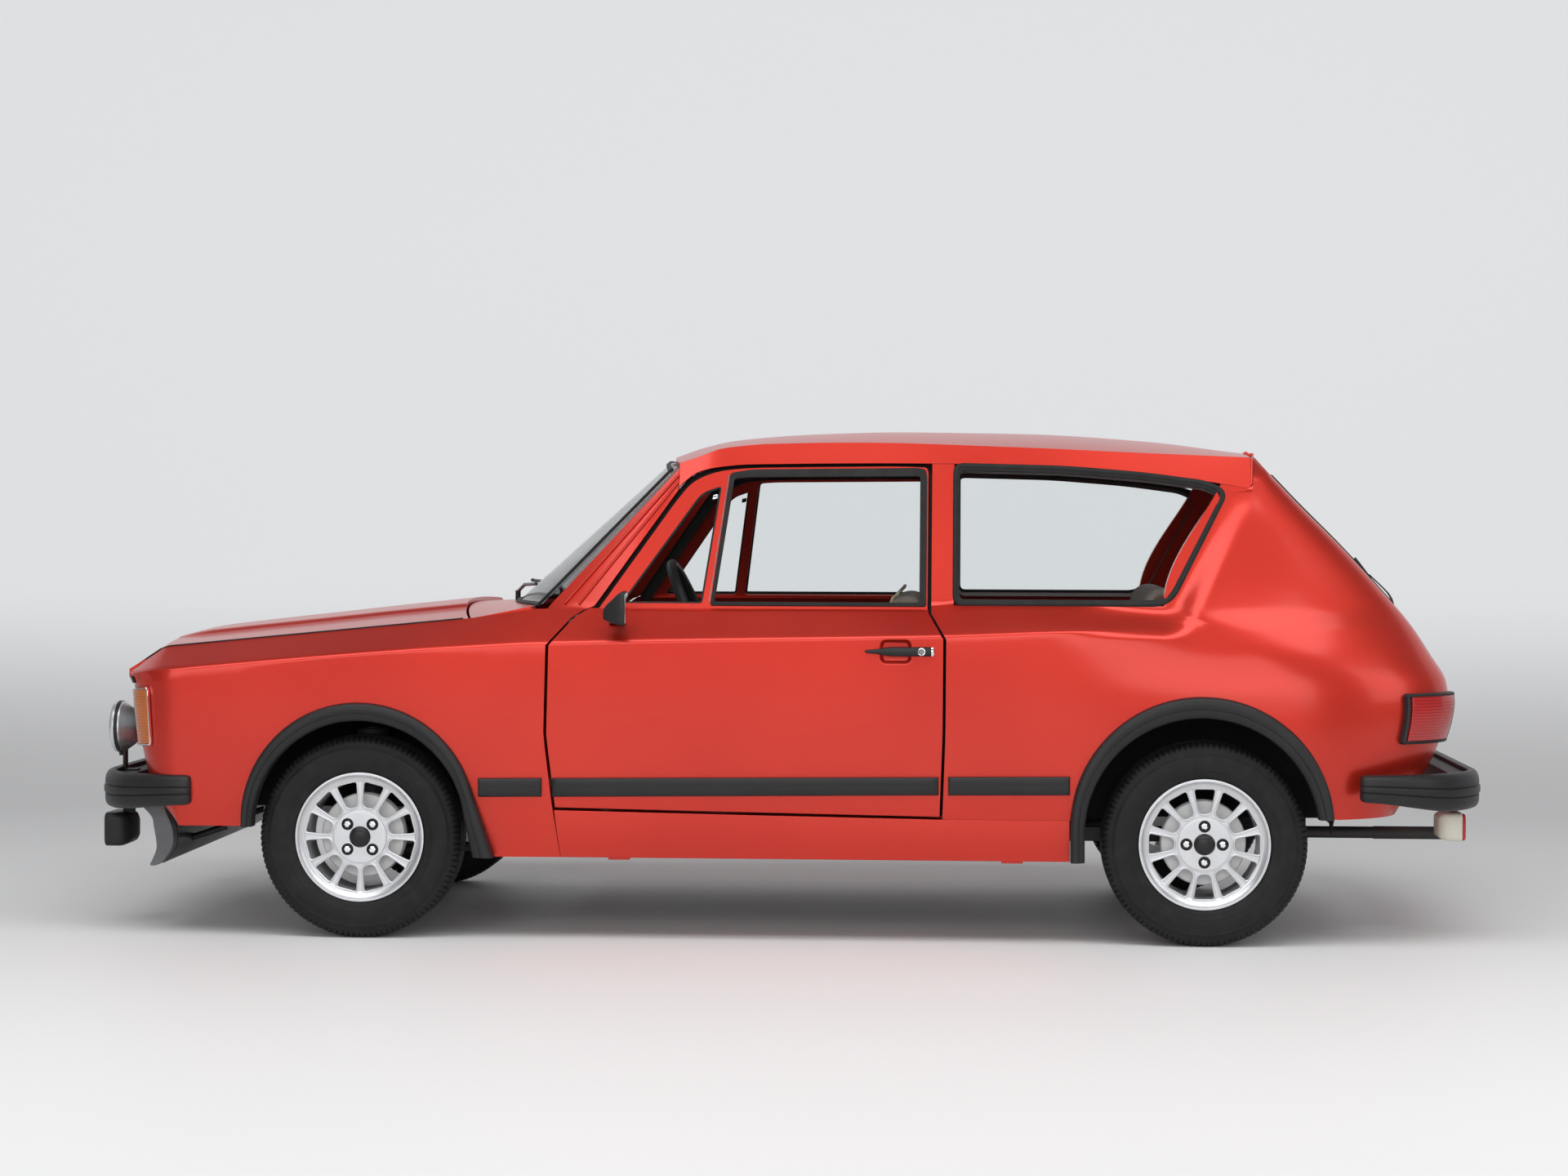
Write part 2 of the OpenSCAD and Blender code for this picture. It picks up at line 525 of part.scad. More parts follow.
module grille() {
    zs = [grille_bottom_z, grille_top_z];
    tray = [grille_bottom_z - 4 + seat_gap, lamp_z - lamp_h / 2 - seat_gap];
    back = grille_back + grille_t / 2;
    color(black) {
        plate(nose_grid(nose_in_y, zs, grille_back), nose_grid(nose_in_y, zs, grille_back + grille_t));
        plate(nose_grid(nose_in_y, tray, 3), nose_grid(nose_in_y, tray, back));
        for (y = [-grille_y + 4, -grille_t / 2, grille_y - 4 - grille_t])
            plate(post_grid(y, zs, 12), post_grid(y, zs, back));
        for (k = [0:slats - 1])
            let (z = mix(grille_bottom_z + 12, grille_top_z - 12 - slat_h, k / (slats - 1)), zz = [z,
                z + slat_h])
            plate(nose_grid(grille_y, zz, 4), nose_grid(grille_y, zz, 4 + slat_deep));
    }
}
lamp_w = 196;
lamp_h = 150;
lamp_y = half_width - 247;
lamp_z = 646;
lamp_deep = 60;
lamp_corner = 12;
lamp_out = 4;
module rounded_rect(w, h, r) {
    square([w - 2 * r, h], center = true);
    square([w, h - 2 * r], center = true);
    for (a = [-1, 1], b = [-1, 1]) translate([a * (w / 2 - r), b * (h / 2 - r)]) circle(r);
}
module headlamps() {
    color([0.85, 0.88, 0.9]) mirrored() translate([nose_x(lamp_y, lamp_z) - lamp_out, -lamp_y, lamp_z])
        rotate([90, 0, 90]) linear_extrude(lamp_deep) rounded_rect(lamp_w, lamp_h, lamp_corner);
}
// Point on column i of a grid, at a share w of the rows
function on_rows(grid, i, w) = let (j = min(floor(w), len(grid[i]) - 2))
    mix(grid[i][j], grid[i][j + 1], w - j);
indicator_rows = [1.72, 2, 2.7];
indicator_t = 12;
indicator_cols = [0:3];
function indicator_grid(inset) = let (grid = wing_grid(inset))
    [for (i = indicator_cols) [for (w = indicator_rows) on_rows(grid, i, w)]];
module indicators() {
    color([0.95, 0.45, 0.05]) mirrored() plate(indicator_grid(-indicator_t), indicator_grid(-1));
}

// Tail
tail_bow = 12;
function tail_x(y, z) = lookup(z, tail_line) + tail_bow * (1 - pow(y / tail_y, 2));
rear_panel_rows = [quarter_bottom_z + 6, 388, 526, 678, 732];
rear_cols = 3;
function rear_grid(half, zs, deep) = [for (k = [-rear_cols:rear_cols]) let (y = half * k / rear_cols)
    [for (z = zs) [tail_x(y, z) - deep, y, z]]];
module rear_panel() {
    half = tail_y - seat_gap;
    color(paint) plate(rear_grid(half, rear_panel_rows, 0), rear_grid(half, rear_panel_rows, apron_t));
}
tail_lamp_rows = [2.22, 2.74];
tail_lamp_t = 24;
tail_lamp_cols = [3:6];
function tail_lamp_grid(inset) = let (grid = quarter_grid(inset), n = len(grid) - len(quarter_turns) - 1)
    [for (i = tail_lamp_cols) [for (w = tail_lamp_rows) on_rows(grid, n + i, w)]];
module tail_lamps() {
    color([0.45, 0.02, 0.03]) mirrored() plate(tail_lamp_grid(-tail_lamp_t), tail_lamp_grid(-3));
}

tailgate_rows = [741, 806, 895, 945, 1104, 1244, 1305, 1366];
tailgate_across = [-1, -0.86, -0.5, 0, 0.5, 0.86, 1];
tailgate_y = tail_y - shut_gap;
tailgate_crown = 15;
tailgate_low = tailgate_rows[0];
tailgate_high = tailgate_rows[len(tailgate_rows) - 1];
// How far the inner skin of the lower, middle and upper rows lies forward and down
tailgate_in = [[1, 0], [0.7, 0.7], [0, 1.35]];
function tailgate_point(u, z, deep) =
    let (y = u * tailgate_y, d = tailgate_in[z <= tailgate_low ? 0 : z < tailgate_high ? 1 : 2],
        lift = tailgate_crown * (1 - u * u) * (z - tailgate_low) / (tailgate_high - tailgate_low))
    [tail_x(y, z) - d[0] * deep, y, z + lift - d[1] * deep];
function tailgate_grid(deep) = [for (u = tailgate_across) [for (z = tailgate_rows) tailgate_point(u, z,
    deep)]];
tail_hinge = [roof_back_x + 6, 1378];
tail_hinge_y = tail_y - 200;
tail_hinge_w = 60;
module tailgate() {
    color(paint) {
        plate(tailgate_grid(0), tailgate_grid(panel_t), [[1, 5, 3, 6]]);
        for (y = [-tail_hinge_y, tail_hinge_y])
            translate([tail_hinge[0], y - tail_hinge_w / 2, tail_hinge[1]]) {
            rotate([-90, 0, 0]) cylinder(r = 6 - seat_gap, h = tail_hinge_w, $fn = 24);
            translate([0, 0, -7]) cube([22, tail_hinge_w, 8]);
        }
    }
}
tail_glass_gap = 0.001;
tail_glass_in = 7;
module tailgate_glass() {
    us = [-0.86 + tail_glass_gap, -0.5, 0, 0.5, 0.86 - tail_glass_gap];
    zs = [945.5, 1104, 1244, 1304.5];
    color([0.3, 0.35, 0.35, 0.6]) plate([for (u = us) [for (z = zs) tailgate_point(u, z, tail_glass_in)]],
        [for (u = us) [for (z = zs) tailgate_point(u, z, tail_glass_in + glass_t)]]);
}
// A rod through a list of points
module rod(points, r) {
    for (k = [0:len(points) - 2]) let (d = points[k + 1] - points[k], l = norm(d))
        translate(points[k]) rotate([0, acos(d[2] / l), atan2(d[1], d[0])])
            cylinder(r = r, h = l, $fn = 24);
    if (len(points) > 2) for (k = [1:len(points) - 2]) translate(points[k]) sphere(r * 1.05, $fn = 24);
}
wiper_r = 5;
wiper_lift = -26;
// How far the wiper's foot reaches down to the cowl
wiper_foot = 0.02;
// A wiper's reach from its foot: share of the half width, then share of the screen's height
wiper_path = [[0.72, 0.1], [0.36, 0.08], [0, wiper_foot]];
function wiper_drop(u) = screen_point(u, wiper_foot, wiper_lift)[2] - screen_base[1] + 1 - seat_gap;
module front_wipers() {
    color([0.05, 0.05, 0.05]) {
        for (u = [-0.06, 0.74]) {
            rod([for (w = wiper_path) screen_point(u - w[0], w[1], wiper_lift)], wiper_r);
            translate(screen_point(u, wiper_foot, wiper_lift) - [0, 0, wiper_drop(u)])
                cylinder(r = wiper_r + 3, h = wiper_drop(u) + 3);
        }
    }
}
rear_wiper_z = 905;
module rear_wiper() {
    color([0.05, 0.05, 0.05]) {
        rod([tailgate_point(0, rear_wiper_z, -20), tailgate_point(-0.3, rear_wiper_z + 99, -20)],
            wiper_r);
        rod([tailgate_point(0, rear_wiper_z, -20), tailgate_point(0, rear_wiper_z, -1)], wiper_r + 4);
    }
}

// Bumpers: each profile row is [depth from the rib face, height]
bumper_h = 108;
bumper_profile = [[24, 0], [15, 3], [9, 10], [7, 22], [7, 40], [0, 46], [0, 62], [7, 68], [7, 87],
    [9, bumper_h - 10],
    [15, bumper_h - 3], [24, bumper_h]];
bumper_y = half_width + 19;
beam_y = half_width - 240;
beam_inset = 16;
// Half bumper on the left, its nose at x 0 and its rib face outwards, tail towards +X
module bumper_half(corner_r, end_x) {
    translate([corner_r, -(bumper_y - corner_r), 0])
        rotate([0, 0, 180]) rotate_extrude(angle = 90, $fn = 72)
        polygon([for (p = bumper_profile) [corner_r - p[0], p[1]]]);
    translate([0, 0.01, 0]) rotate([90, 0, 0])
        linear_extrude(bumper_y - corner_r + 0.01) polygon(bumper_profile);
    translate([corner_r, -bumper_y, 0])
        rotate([90, 0, 90]) linear_extrude(end_x - corner_r) polygon(bumper_profile);
}
module bumper(corner_r, end_x, stay_x) {
    mirrored() bumper_half(corner_r, end_x);
    translate([18, -beam_y, beam_inset]) cube([beam_deep, 2 * beam_y, bumper_h - 2 * beam_inset]);
    mirrored() translate([beam_deep + 10, -bumper_stay_y - stay_w / 2, 36])
        cube([stay_x - beam_deep - 10, stay_w, 36]);
}
beam_deep = 70;
stay_w = 40;
bumper_stay_y = 300;
front_bumper_x = lx(-1967);
front_bumper_z = 352;
front_bumper_end = lx(-1653);
front_bumper_r = 310;
rear_bumper_x = lx(1975);
rear_bumper_z = 378;
rear_bumper_end = lx(1604);
rear_bumper_r = 330;
stay_in_y = bumper_stay_y - stay_w / 2;
stay_top = 72;
module front_bumper() {
    stay_x = nose_x(stay_in_y, front_bumper_z + stay_top) - front_bumper_x - seat_gap;
    color(black) translate([front_bumper_x, 0, front_bumper_z])
        bumper(front_bumper_r, front_bumper_end - front_bumper_x, stay_x);
}
module rear_bumper() {
    stay_x = rear_bumper_x - tail_x(stay_in_y, rear_bumper_z + stay_top) - seat_gap;
    color(black) translate([rear_bumper_x, 0, rear_bumper_z]) mirror([1, 0, 0])
        bumper(rear_bumper_r, rear_bumper_x - rear_bumper_end, stay_x);
}

// Round lamps on the bumper and driving lamps under it
aux_y = half_width - 350;
aux_r = 74;
aux_z = 572;
aux_x = front_bumper_x + 6;
aux_rim_l = 30;
aux_bowl_l = 44;
drive_w = 150;
drive_h = 98;
drive_l = 76;
drive_z = 277;
drive_x = front_bumper_x - 8;
bracket_x = front_bumper_x + 32;
bracket_w = 30;
bracket_t = 8;
bracket_low = front_bumper_z + bumper_h - beam_inset + seat_gap;
drive_top = drive_z + drive_h / 2 - 4;
module aux_lamps() {
    translate([aux_x, -aux_y, aux_z]) rotate([0, 90, 0]) cylinder(r = aux_r, h = aux_rim_l);
    translate([aux_x + aux_rim_l - 1, -aux_y, aux_z]) rotate([0, 90, 0])
        cylinder(r1 = aux_r - 4, r2 = aux_r * 0.55, h = aux_bowl_l);
    translate([bracket_x, -aux_y - bracket_w / 2, bracket_low])
        cube([bracket_t, bracket_w, aux_z - bracket_low - 36]);
    translate([bracket_x, -aux_y - bracket_w / 2, bracket_low])
        cube([aux_bowl_l, bracket_w, bracket_t - 3]);
    translate([drive_x, -aux_y, drive_z])
        rotate([90, 0, 90]) linear_extrude(drive_l) rounded_rect(drive_w, drive_h, 22);
    translate([bracket_x, -aux_y - bracket_w / 2, drive_top])
        cube([bracket_w, bracket_w, front_bumper_z + beam_inset - drive_top - seat_gap]);
}
module auxiliary_lamps() { color(black) mirrored() aux_lamps(); }

// Grey chin spoiler under the nose: each row is [x, z]
spoiler_top_z = apron_bottom_z - seat_gap;
spoiler_section = along([[-1830, spoiler_top_z], [-1765, spoiler_top_z], [-1743, 302], [-1738, 255],
    [-1776, 196],
    [-1804, 189], [-1785, 243], [-1795, 301]]);
spoiler_y = nose_y;
spoiler_stay_y = 400;
module front_spoiler() {
    color([0.45, 0.46, 0.48]) {
        translate([0, spoiler_y, 0]) rotate([90, 0, 0])
            linear_extrude(2 * spoiler_y) polygon(spoiler_section);
        for (y = [-spoiler_stay_y, spoiler_stay_y]) rod([[lx(-1745), y, 245], [lx(-1640), y, 280]], 10);
    }
}

// Rear fog lamp hung under the bumper on the left
fog_y = -(half_width - 330);
fog_x = lx(1858);
fog_z = 318;
fog_size = [130, 80, 76];
fog_foot = [16, 24];
fog_foot_z = fog_z + fog_size[1] / 2 - 8;
module rear_fog_lamp() {
    color([0.75, 0.74, 0.7]) {
        translate([fog_x, fog_y, fog_z])
            rotate([90, 0, 90]) linear_extrude(fog_size[2]) rounded_rect(fog_size[0], fog_size[1], 14);
        translate([fog_x + 36, fog_y - fog_foot[1] / 2, fog_foot_z])
            cube([fog_foot[0], fog_foot[1], rear_bumper_z + beam_inset - seat_gap - fog_foot_z]);
    }
}

// Exhaust through the tunnel and over the rear axle, with an open tail end
pipe_r = 17;
pipe_y = -300;
pipe_z = 282;
tunnel_pipe_z = 300;
engine_w = 440;
port_y = -engine_w / 2 - pipe_r - seat_gap;
// Pipe path: each row is [x, y, z]
pipe_path = [[-1240, port_y, 380], [-1100, port_y, 350], [-930, port_y + 47, 330],
    [-770, 0, tunnel_pipe_z],
    [560, 0, tunnel_pipe_z], [700, -40, 240], [930, pipe_y, 300], [1090, pipe_y, 372],
        [1270, pipe_y, 372],
    [1450, pipe_y, pipe_z], [1720, pipe_y, pipe_z]];
tip_r = pipe_r + 1.5;
tip_x = lx(1700);
tip_l = 196;
tip_wall = 3;
tip_bore_l = 120;
silencer = [100, 55, 330];
hanger_r = 6;
module exhaust() {
    color([0.3, 0.29, 0.28]) {
        rod([for (p = pipe_path) [lx(p[0]), p[1], p[2]]], pipe_r);
        translate([tip_x, pipe_y, pipe_z]) rotate([0, 90, 0]) difference() {
            cylinder(r = tip_r, h = tip_l);
            translate([0, 0, tip_l - tip_bore_l]) cylinder(r = tip_r - tip_wall, h = tip_bore_l + 1);
        }
        translate([lx(silencer[0]), 0, tunnel_pipe_z])
            rotate([0, 90, 0]) cylinder(r = silencer[1], h = silencer[2]);
        for (x = [-400, 540]) translate([lx(x), 0, tunnel_pipe_z])
            cylinder(r = hanger_r, h = floor_z + tunnel_h - tunnel_pipe_z - seat_gap);
        translate([lx(1500), pipe_y, pipe_z])
            cylinder(r = hanger_r, h = rear_floor_z - pipe_z - seat_gap);
    }
}

// Engine mass with its gearbox
engine_x = lx(-1570);
engine_z = 300;
engine_l = 440;
engine_h = 420;
cover_w = 340;
gearbox_r = 130;
gearbox_l = 180;
module engine() {
    color([0.35, 0.36, 0.38]) {
        translate([engine_x, -engine_w / 2, engine_z]) cube([engine_l, engine_w, engine_h]);
        translate([engine_x + 70, -cover_w / 2, engine_z + engine_h - 5])
            cube([engine_l - 140, cover_w, 40]);
        translate([engine_x + engine_l - 5, 0, engine_z + 100])
            rotate([0, 90, 0]) cylinder(r = gearbox_r, h = gearbox_l);
    }
}

// Front axle: cross-member and lower arms
kingpin_y = wheel_y - 130;
member_w = 90;
member_y = kingpin_y - 135;
foot_y = 190;
rod_r = 14;
arm_z = 190;
module front_axle() {
    color([0.16, 0.16, 0.17]) {
        translate([front_x - member_w / 2, -member_y, arm_z]) cube([member_w, 2 * member_y, 50]);
        mirrored() {
            translate([front_x - 30, -kingpin_y - 20, arm_z + 12])
                cube([60, kingpin_y - member_y + 30, 24]);
            rod([[front_x + 40, -member_y + 40, arm_z + 25],
                [lx(-560), -member_y - 30, floor_z - rod_r - 1]], rod_r);
        }
        for (y = [-foot_y, foot_y]) translate([front_x - 30, y - 25, arm_z + 40])
            cube([60, 50, engine_z - arm_z - 40 - seat_gap]);
    }
}

hub_face = 43.5;
// Knuckle of the left front wheel with strut and hub
module knuckle() {
    color([0.25, 0.25, 0.26]) {
        translate([front_x, -kingpin_y, arm_z + 36 + seat_gap]) cylinder(r = 18, h = 40);
        translate([front_x - 30, -kingpin_y - 24, arm_z + 60]) cube([60, 48, 110]);
        translate([front_x, -kingpin_y, tyre_r]) cylinder(r = 24, h = 300);
        translate([front_x, -kingpin_y, 470]) cylinder(r = 44, h = 110);
        hub(kingpin_y);
    }
}
// Stub axle with brake and wheel flange, from y0 out to the wheel disc
module hub(y0, x = front_x) {
    translate([x, -y0, tyre_r]) rotate([90, 0, 0]) cylinder(r = 26, h = wheel_y + hub_face - y0 - 1);
    translate([x, -wheel_y + 20, tyre_r]) rotate([90, 0, 0]) cylinder(r = 118, h = 12);
    translate([x, -wheel_y - hub_face + 12, tyre_r])
        rotate([90, 0, 0]) cylinder(r = 66, h = 12 - seat_gap);
}

trail_x = lx(790);
trail_y = 430;
trail_w = 50;
trail_h = 40;
trail_z = tyre_r - trail_h / 2;
spring_h = rear_floor_z - trail_z - seat_gap;
module rear_axle() {
    color([0.16, 0.16, 0.17]) {
        translate([rear_x, wheel_y - 30, tyre_r])
            rotate([90, 0, 0]) cylinder(r = 28, h = 2 * wheel_y - 60);
        mirrored() {
            hub(wheel_y - 60, rear_x);
            translate([trail_x, -trail_y - trail_w / 2, trail_z])
                cube([rear_x + 90 - trail_x, trail_w, trail_h]);
            translate([trail_x, -trail_y - trail_w / 2, trail_z]) cube([trail_h, trail_w, spring_h]);
            translate([rear_x + 60, -trail_y, trail_z]) cylinder(r = trail_w / 2 - 1, h = spring_h);
        }
    }
}

// Slot of the alloy wheel: a wedge with rounded corners
slot_in_r = 83;
slot_out_r = rim_r - 34;
slot_corner = 8;
slot_share = 0.68;
function toward(angle) = [cos(angle), sin(angle)];
module rim_slot() {
    half_angle = 180 / rim_slots * slot_share;
    q = slot_corner;
    inner = [slot_in_r + q, slot_in_r * sin(half_angle) - q];
    outer = [slot_out_r - q, slot_out_r * sin(half_angle) - q];
    side = concat([for (k = [0:3]) inner + q * toward(mix(180, 90 + half_angle, k / 3))],
        [for (k = [0:4]) outer + q * toward(mix(90 + half_angle, 0, k / 4))]);
    polygon(concat(side, [for (i = [len(side) - 1:-1:0]) [side[i][0], -side[i][1]]]));
}

// Alloy wheel, axis along Z, outer face up
disc_z = hub_face + 0.5;
bead_r = rim_r - 22;
module rim() {
    color([0.72, 0.73, 0.75]) rotate([90, 0, 0]) difference() {
        union() {
            rotate_extrude($fn = 96) polygon([[rim_r - 30, -70], [rim_r, -70],
                [rim_r, -63], [bead_r, -58], [bead_r, 58], [rim_r, 63], [rim_r, 70], [rim_r - 30, 70]]);
            translate([0, 0, disc_z]) cylinder(r = rim_r - 29, h = 12, $fn = 96);
            translate([0, 0, disc_z]) cylinder(r = 72, h = 16);
            translate([0, 0, disc_z]) cylinder(r = 30, h = 32);
            for (k = [0:3]) rotate(45 + 90 * k) translate([bolt_circle_r, 0, disc_z + 10])
                cylinder(r = 10, h = 18, $fn = 6);
        }
        for (k = [0:rim_slots - 1]) rotate(360 * (k + 0.5) / rim_slots)
            translate([0, 0, disc_z - 5]) linear_extrude(30) rim_slot();
    }
}
// Tyre section: each row is [radius, half width]
tyre_section = [[bead_r + 0.4, 57.2], [rim_r + 0.4, 62.2], [rim_r + 3, 69],
    [mix(rim_r, tyre_r, 0.32), tyre_w / 2],
    [mix(rim_r, tyre_r, 0.68), tyre_w / 2 - 1.5], [tyre_r - 11, tyre_w / 2 - 9.5],
        [tyre_r, tyre_w / 2 - 23.5]];
module tyre() {
    color([0.03, 0.03, 0.03]) rotate([90, 0, 0]) rotate_extrude($fn = 96)
        polygon(concat(tyre_section, [for (k = [len(tyre_section) - 1:-1:0]) [tyre_section[k][0],
            -tyre_section[k][1]]]));
}
module at_wheel(x, side) {
    translate([x, side * wheel_y, tyre_r]) mirror([0, side > 0 ? 1 : 0, 0]) children();
}

// Doors

function up(z) = (z - waist_z) / cos(tilt);
// Lays a window-plane outline on the left side, its outer face deep mm in and t thick
module window_plane(deep, t) {
    translate([0, -edge_y, waist_z]) rotate([90 - tilt, 0, 0])
        translate([0, 0, -deep - t]) linear_extrude(t) children();
}
door_top_z = 932;
door_in = [wall_t, wall_t, wall_t, 54, 42];
function door_point(s, j, inset) =
    let (zb = lookup(mix(lx(-616), lx(454), s), door_bottom_line), xm = mix(lx(-640), lx(454), s),
        zc = lookup(xm, crease_line),
        z = [zb, 397, zc, 906, door_top_z][j],
        x = mix(lookup(z, door_front_line) + shut_gap / 2, lookup(z, door_rear_line), s))
    [x, -(side_y(z, zc) - inset * door_in[j]), z];
function door_grid(inset) = [for (s = [0, 0.25, 0.5, 0.75, 1]) [for (j = [0:4]) door_point(s, j, inset)]];
frame_t = 26;
// Window outlines of the door: each row is [x, z]
frame_outline = [[-522, 905], [-514, 930], [-300, 1238], [-256, 1292], [-186, 1320], [-91, 1329],
    [326, 1334],
    [405, 1331], [411, 1320], [411, 905]];
vent_outline = [[-452, 946], [-222, 946], [-174, 1278], [-232, 1258]];
glass_outline = [[-194, 946], [-144, 1304], [-91, 1308], [394, 1312], [394, 946]];
module lifted(outline) { polygon([for (p = outline) [lx(p[0]), up(p[1])]]); }
module door() {
    color(paint) {
        plate(door_grid(0), door_grid(1));
        window_plane(0, frame_t) difference() {
            lifted(frame_outline);
            lifted(vent_outline);
            lifted(glass_outline);
        }
    }
}
module door_glass() {
    color([0.5, 0.58, 0.58, 0.6]) window_plane(9, glass_t) {
        offset(delta = -seat_gap) lifted(vent_outline);
        offset(delta = -seat_gap) lifted(glass_outline);
    }
}
// Strip on the left side between two places: each end is [x, low z, high z]
strip_t = 14;
function strip_point(x, z, out) = [lx(x), -(side_y(z, lookup(lx(x), crease_line)) + out), z];
function strip_face(a, b, out) = [for (e = [a, b]) [for (z = [e[1], e[2]]) strip_point(e[0], z, out)]];
module strip(a, b, t = strip_t) { plate(strip_face(a, b, t), strip_face(a, b, seat_gap)); }
module side_strips() {
    color(black) mirrored() {
        strip([-840, 405, 457], [-662, 407, 459]);
        strip([472, 420, 471], [808, 423, 474]);
    }
}
handle_z = 818;
handle_h = 26;
handle_t = 16;
mirror_size = [64, 76, 98];
mirror_back = 18;
mirror_out = 50;
mirror_y = half_width + mirror_out;
mirror_at = [lx(-488), -mirror_y, 886];
// Arm of the mirror on the shoulder of the door: each end is [x, low z, high z]
mirror_arm = [[-472, 892, 918], [-440, 892, 918]];
mirror_arm_l = 36;
module door_fittings() {
    color(black) {
        strip([-632, 407, 459], [445, 420, 470]);
        strip([240, handle_z - handle_h / 2, handle_z + handle_h / 2],
            [432, handle_z - handle_h / 2, handle_z + handle_h / 2], handle_t);
        hull() {
            translate(mirror_at + [mirror_size[0] - mirror_back, 0, 0])
                cube([mirror_back, mirror_size[1], mirror_size[2]]);
            translate(mirror_at + [0, mirror_size[1] * 0.24, mirror_size[2] * 0.3])
                cube([mirror_back, mirror_size[1] * 0.56, mirror_size[2] * 0.4]);
        }
        strip(mirror_arm[0], mirror_arm[1], mirror_arm_l);
    }
}

// Window behind the door: each row is [x, z]
quarter_glass_outline = [[489, 949], [1078, 949], [1236, 1254], [1190, 1283], [1017, 1308],
    [787, 1326], [489, 1334]];
module quarter_glass() {
    color([0.3, 0.35, 0.35, 0.6]) mirrored() window_plane(12, glass_t) lifted(quarter_glass_outline);
}

// Cabin
seat_y = 0.436 * half_width;
// Side outline of the dashboard: each row is [x, z]
dash_x = bulkhead_x + floor_t + seat_gap;
dash_section = concat([[dash_x, 640]],
    along([[-520, 640], [-440, 720], [-420, 820], [-450, 880], [-520, 900]]), [[dash_x, 880]]);
dash_y = half_width - 190;
wheel_centre = [lx(-267), -seat_y - 10, 895];
column_angle = 24;
column_l = 260;
module on_column() { translate(wheel_centre) rotate([0, 90 - column_angle, 0]) children(); }
module dashboard() {
    color([0.1, 0.1, 0.1]) {
        translate([0, dash_y, 0]) rotate([90, 0, 0]) linear_extrude(2 * dash_y) polygon(dash_section);
        on_column() translate([0, 0, -column_l]) cylinder(r = 24, h = column_l - 24 - seat_gap);
    }
}
steering_r = 186;
module steering_wheel() {
    color([0.04, 0.04, 0.04]) on_column() {
        rotate_extrude($fn = 72) translate([steering_r - 15, 0]) circle(15, $fn = 24);
        translate([0, 0, -24]) cylinder(r = 42, h = 30);
        for (a = [0, 90, 180]) rotate(a) translate([30, -16, -14]) cube([steering_r - 50, 32, 10]);
    }
}
seat_w = 470;
seat_rail_y = 160;
seat_rail = [400, 20, 425 - floor_z - floor_t];
// Side outline of a front seat: each row is [x, z]
seat_outline = [[-150, 420], [-160, 500], [-130, 545], [210, 520], [235, 560], [300, 950], [325, 978],
    [375, 978],
    [395, 950], [330, 520], [300, 430]];
seat_shift = lx(100) - 100;
module front_seats() {
    color(cloth) for (y = [-seat_y, seat_y]) translate([seat_shift, y, 0]) {
        translate([0, seat_w / 2, 0]) rotate([90, 0, 0]) linear_extrude(seat_w) polygon(seat_outline);
        for (dy = [-seat_rail_y, seat_rail_y])
            translate([-120, dy - seat_rail[1] / 2, floor_z + floor_t + seat_gap])
            cube(seat_rail);
    }
}
bench_z = rear_floor_z + floor_t + seat_gap;
bench_outline = [[770, bench_z], [700, 560], [725, 590], [960, 570], [1000, 610], [1045, 985],
    [1065, 1005],
    [1105, 1005], [1125, 985], [1060, bench_z]];
bench_y = rear_floor_y - 10;
module rear_seat() {
    color(cloth) translate([lx(900) - 900, bench_y, 0])
        rotate([90, 0, 0]) linear_extrude(2 * bench_y) polygon(bench_outline);
}

module right_side() { mirror([0, 1, 0]) children(); }
floor_pan();
front_wings();
rear_quarters();
roof();
windscreen_frame();
sills();
front_panel();
grille();
headlamps();
indicators();
rear_panel();
tail_lamps();
front_bumper();
rear_bumper();
arch_trims();
side_strips();
windscreen();
quarter_glass();
wheel_houses();
auxiliary_lamps();
front_spoiler();
rear_fog_lamp();
exhaust();
engine();
front_axle();
rear_axle();
dashboard();
front_seats();
rear_seat();
front_wipers();
door();  // door_left
door_glass();  // door_left_glass
door_fittings();  // door_left_fittings
right_side() door();  // door_right
right_side() door_glass();  // door_right_glass
right_side() door_fittings();  // door_right_fittings
bonnet();
tailgate();
tailgate_glass();
rear_wiper();
steering_wheel();
knuckle();  // knuckle_left
right_side() knuckle();  // knuckle_right
at_wheel(front_x, -1) rim();  // rim_front_left
at_wheel(front_x, 1) rim();  // rim_front_right
at_wheel(rear_x, -1) rotate([0, 45, 0]) rim();  // rim_rear_left
at_wheel(rear_x, 1) rotate([0, 45, 0]) rim();  // rim_rear_right
at_wheel(front_x, -1) tyre();  // tyre_front_left
at_wheel(front_x, 1) tyre();  // tyre_front_right
at_wheel(rear_x, -1) tyre();  // tyre_rear_left
at_wheel(rear_x, 1) tyre();  // tyre_rear_right
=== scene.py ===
"""Looks of the three-door hatchback: paint, glass, wheels, lamps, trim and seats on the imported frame.

Tables and sizes are in millimetres and meshes in metres. The car faces -X and its left side is at -Y.
"""

import math

import bmesh
import bpy
from mathutils import Matrix, Vector
from mathutils.geometry import tessellate_polygon


